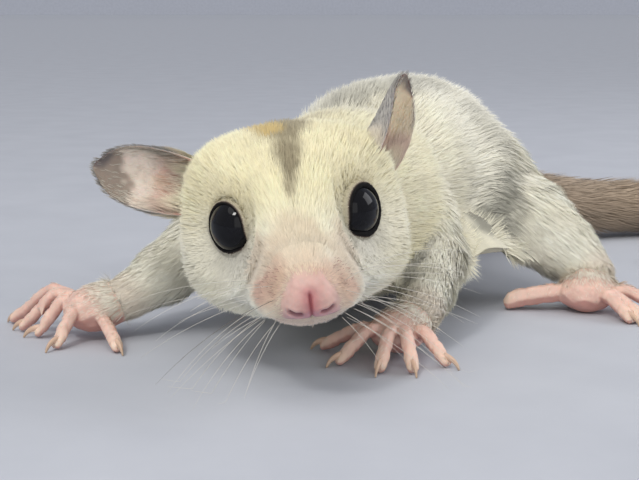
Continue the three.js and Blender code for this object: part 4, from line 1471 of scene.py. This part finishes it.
def make_paw(name, spec):
    paw = joined_copy(name + "_skin", [name], 0.0, PAW_VOXEL, PAW_SMOOTHING)
    points, normals = points_of(paw), normals_of(paw)
    sole, wrist = np.array(spec["sole"]), np.array(spec["wrist"])
    tips = np.array([(x, y, TIP_HEIGHT) for x, y in spec["tips"]])
    crease = np.zeros(len(points))
    rounded_off = np.zeros(len(points), bool)
    to_tip = np.full(len(points), 99.0)
    for tip, radius in zip(tips, spec["radii"]):
        base = np.array([sole[0], sole[1], 0])
        end = np.array([tip[0], tip[1], 0])
        run = np.linalg.norm(end - base)
        heading = (end - base) / run
        rel = (points - base) * [1, 1, 0]
        along = rel @ heading
        off = np.linalg.norm(rel - along[:, None] * heading, axis=1)
        on = ease((1.9 - off) / 0.5) * ease((along / run - 0.35) / 0.1)
        fold = np.sin(2 * math.pi * along / 0.8 + 1.6 * ripple(points, 2.5))
        crease += on * (0.03 * fold * ease(0.5 + ripple(points, 1.8)) - 0.01)
        joint = np.exp(-(((along / run - 0.52) / 0.035) ** 2)) + np.exp(-(((along / run - 0.74) / 0.03) ** 2))
        crease += on * (0.16 - 0.13 * joint)
        past = np.clip(along - (run - radius), 0, 0.97 * radius)
        heart = base + heading * (run - radius) + [0, 0, 0.85 * radius]
        beyond = (along > run - radius) & (off < 2.2 * radius)
        rel = points - heart
        ahead = rel @ heading
        offset = rel - ahead[:, None] * heading
        reach = np.linalg.norm(offset, axis=1)
        most = 1.12 * np.sqrt(radius**2 - past**2)
        offset *= (np.minimum(reach, most) / np.maximum(reach, 1e-6))[:, None]
        rounded = heart + heading * np.minimum(ahead, past)[:, None] + offset
        points = np.where(beyond[:, None], rounded, points)
        rounded_off |= along > run - 1.6 * radius
        to_tip = np.minimum(to_tip, np.linalg.norm(points - tip, axis=1))
    points = np.where(rounded_off[:, None], smooth_values(paw, points, 6), points)
    crease += 0.035 * ripple(points * 2, 1.0)
    floor = ease((points[:, 2] - 0.1) / 0.5)
    points = points + normals * (crease * floor)[:, None]
    points[:, 2] = np.maximum(points[:, 2], 0.0)
    set_points(paw, points)
    from_wrist = np.linalg.norm(points - wrist, axis=1)
    colour = stain(HAND_PINK, HAND_TIP, np.exp(-((to_tip / 2.6) ** 2)) * 0.85)
    colour = stain(colour, HAND_BACK, ease(1 - (from_wrist - 3) / 6) * 0.7)
    # Painted shade on the sides that face down.
    colour = stain(colour, HAND_UNDER_SHADE, ease((-normals[:, 2] - 0.1) / 0.5) * 0.8)
    # Painted shade in the sunken creases.
    colour = stain(colour, HAND_CREASE_SHADE, np.clip(-crease * 5, 0, 0.7))
    paint(paw, colour * (1 + 0.07 * ripple(points, 1.6)[:, None]))
    finish_piece(paw, BARE, "bare_skin", name)
    paw_hair(name, paw, points, normals, from_wrist, unit(tips.mean(0) - wrist), wrist)


def paw_hair(name, paw, points, normals, from_wrist, heading, wrist):
    cuff = 34 * ease(1 - (from_wrist - 3.0) / 6.5) * ease((normals[:, 2] + 0.5) / 0.7)
    density = (cuff + 3 * ease(normals[:, 2])) * HAIR_SHARE
    read, _, draw = sow(paw, points, density, 41 + list(PAWS).index(name))
    roots = read(points)
    near = ease(1 - (read(from_wrist) - 2) / 7)
    colours = stain(HAND_HAIR, WHITE, near)
    away = unit(mix(heading, unit(roots - wrist), 0.6))
    normals, lengths, places = unit(read(normals)), mix(0.7, 2.4, near), spread(roots[:, :2])
    grow(name + "_hair", roots, normals, away, lengths, 0.085, 0.22, colours, places, draw)


for paw_name, paw_spec in PAWS.items():
    make_paw(paw_name, paw_spec)

# Claws

CLAW_RINGS, CLAW_SIDES = 9, 8
CLAW_LENGTH, CLAW_DROP = 2.9, 2.05
CLAW_RADIUS, CLAW_POINT = 0.56, 0.05
CLAW_SQUASH = 0.72
CLAW_FLOOR_GAP = 0.14
CLAW_BED = np.array([0.74, 0.50, 0.38])
CLAW_TIP = np.array([0.50, 0.36, 0.24])


def claw(base, end, radius):
    """A curved claw, narrower than it is deep, that leaves its digit a little short of the end."""
    heading = unit(end - base)
    bed = base + (end - base) * 0.90 + [0, 0, radius * 1.75]
    t = np.linspace(0, 1, CLAW_RINGS)
    path = bed + heading * (CLAW_LENGTH * np.sin(t * math.pi / 2.3))[:, None]
    path[:, 2] -= CLAW_DROP * t**2.2
    path[:, 2] = np.maximum(path[:, 2], CLAW_FLOOR_GAP)
    points, faces = tube_mesh(path, CLAW_RADIUS * (1 - t) ** 0.75 + CLAW_POINT, CLAW_SIDES)
    side = unit(np.cross(heading, [0, 0, 1]))
    centre = np.repeat(path, CLAW_SIDES, 0)
    rel = points - centre
    points = centre + rel - dot(rel, side[None]) * side * (1 - CLAW_SQUASH)
    return points, faces, stain(CLAW_BED, CLAW_TIP, np.repeat(t, CLAW_SIDES))


def make_claws():
    """A claw on every digit but the hind feet's big toes, which have none."""
    claws = []
    for name, spec in PAWS.items():
        base = np.array([spec["sole"][0], spec["sole"][1], 0])
        for number, ((x, y), radius) in enumerate(zip(spec["tips"], spec["radii"])):
            if name.startswith("foot") and number == 0:
                continue
            claws.append(claw(base, np.array([x, y, 0]), radius))
    piece_of_tubes("claws", claws, HORN, "bare_skin")


make_claws()

# Whiskers

WHISKER_ROWS, WHISKER_COLUMNS = 5, 4
WHISKER_RINGS, WHISKER_SIDES = 14, 5
WHISKER_RADIUS, WHISKER_POINT = 0.028, 0.008
WHISKER_FRONT, WHISKER_FLOOR_GAP = -44.5, 0.25
WHISKER_PALE = np.array([0.80, 0.76, 0.68])
WHISKER_DARK = np.array([0.14, 0.11, 0.085])
PALE_SHARE = 0.88


def whisker(side, row, column, draw):
    """A hair that leaves the lip sideways and ahead, then droops and bends back."""
    spot = np.array([side * (3.9 + 0.85 * column - 0.12 * row), -11.6 + 1.5 * column, -6.2 - 1.05 * row])
    root = on_muzzle(spot + draw.normal(0, 0.2, 3)) + [-0.4 * side, 0, 0]
    reach = draw.uniform(7, 12) + 3.4 * column
    out = np.array([side * (0.85 + 0.06 * column), -0.45 + 0.24 * column, 0.10 - 0.19 * row])
    out = unit(out + draw.normal(0, 0.12, 3))
    t = np.linspace(0, 1, WHISKER_RINGS)
    path = root + out * (reach * t)[:, None]
    path[:, 2] -= draw.uniform(0.16, 0.34) * reach * t**1.9
    path[:, 1] += draw.uniform(0.02, 0.22) * reach * t**2
    path[:, 0] -= side * draw.uniform(0, 0.10) * reach * t**2
    spots = from_head(path)
    spots[:, 2] = np.maximum(spots[:, 2], WHISKER_FLOOR_GAP)
    spots[:, 1] = np.maximum(spots[:, 1], WHISKER_FRONT)
    points, faces = tube_mesh(spots, WHISKER_RADIUS * (1 - t) ** 0.8 + WHISKER_POINT, WHISKER_SIDES)
    tone = WHISKER_PALE if draw.random() < PALE_SHARE else WHISKER_DARK
    return points, faces, tone * (0.75 + 0.25 * np.repeat(t, WHISKER_SIDES))[:, None]


def make_whiskers():
    draw = np.random.default_rng(61)
    whiskers = [
        whisker(side, row, column, draw)
        for side in (-1, 1)
        for row in range(WHISKER_ROWS)
        for column in range(WHISKER_COLUMNS)
    ]
    piece_of_tubes("whiskers", whiskers, HAIR, "fur")


make_whiskers()

# Floor, light and camera

FLOOR_DARK = np.array([0.46, 0.48, 0.535])
FLOOR_LIGHT = np.array([0.55, 0.57, 0.625])
BACKDROP_LEVEL = 1.40
STAGE_SIZE = 60
BACKDROP_AWAY = 9


def stage_plane(name, place, lean, level):
    deselect()
    bpy.ops.mesh.primitive_plane_add(size=STAGE_SIZE, location=place, rotation=(lean, 0, 0))
    plane = bpy.context.active_object
    bpy.ops.object.transform_apply(location=True, rotation=True, scale=True)
    plane.name = name
    dark, light = FLOOR_DARK * level, FLOOR_LIGHT * level
    plane.data.materials.append(mottled(f"pale_{name}", dark, light, scale=60.0, detail=5.0, Roughness=0.75))


stage_plane("floor", (0, 0, 0), 0, 1)
stage_plane("backdrop", (0, BACKDROP_AWAY, 0), math.pi / 2, BACKDROP_LEVEL)

WORLD_COLOUR = (0.88, 0.885, 0.91, 1)
WORLD_STRENGTH = 0.52
world = bpy.data.worlds.new("studio")
bpy.context.scene.world = world
world.use_nodes = True
world.node_tree.nodes["Background"].inputs["Color"].default_value = WORLD_COLOUR
world.node_tree.nodes["Background"].inputs["Strength"].default_value = WORLD_STRENGTH

# Each lamp: its kind and settings, where it is and what it faces.
LAMPS = {
    "overhead": dict(
        kind="SUN",
        place=(-0.25, -0.28, 1.0),
        target=(0, 0, 0),
        energy=0.8,
        color=(1.0, 0.99, 0.95),
        angle=math.radians(50),
    ),
    "window": dict(
        kind="AREA",
        place=(-0.20, -0.34, 0.40),
        target=(-0.03, -0.05, 0.02),
        energy=0.7,
        color=(1.0, 0.98, 0.94),
        size=0.08,
    ),
    "front": dict(
        kind="AREA",
        place=(0.15, -1.5, 0.38),
        target=(0, 0, 0.02),
        energy=6.2,
        color=(1.0, 0.99, 0.96),
        size=1.4,
    ),
    "side": dict(
        kind="AREA",
        place=(0.45, 0.05, 0.30),
        target=(0.02, 0, 0.02),
        energy=0.9,
        color=(0.98, 0.98, 1.0),
        size=0.3,
    ),
}


def add_lamp(name, kind, place, target, **settings):
    lamp = bpy.data.lights.new(name, kind)
    for key, value in settings.items():
        setattr(lamp, key, value)
    holder = bpy.data.objects.new(name, lamp)
    holder.location = place
    holder.rotation_euler = (Vector(target) - Vector(place)).to_track_quat("-Z", "Y").to_euler()
    bpy.context.scene.collection.objects.link(holder)


for lamp_name, lamp_spec in LAMPS.items():
    add_lamp(lamp_name, **lamp_spec)

# The photo's focal length and width in pixels give the lens. The camera stands in drawing millimetres.
PHOTO_FOCAL, PHOTO_WIDTH = 1320, 639
SENSOR = 36
CAMERA_PLACE = [0, -200, 50]
CAMERA_TILT = math.radians(80)
camera_data = bpy.data.cameras.new("camera")
camera_data.sensor_width = SENSOR
camera_data.lens = PHOTO_FOCAL / PHOTO_WIDTH * SENSOR
camera_data.clip_start = 0.01
camera = bpy.data.objects.new("camera", camera_data)
camera.location = placed(CAMERA_PLACE)
camera.rotation_euler = (CAMERA_TILT, 0, 0)
bpy.context.scene.collection.objects.link(camera)
bpy.context.scene.camera = camera
bpy.context.scene.view_settings.view_transform = "Standard"
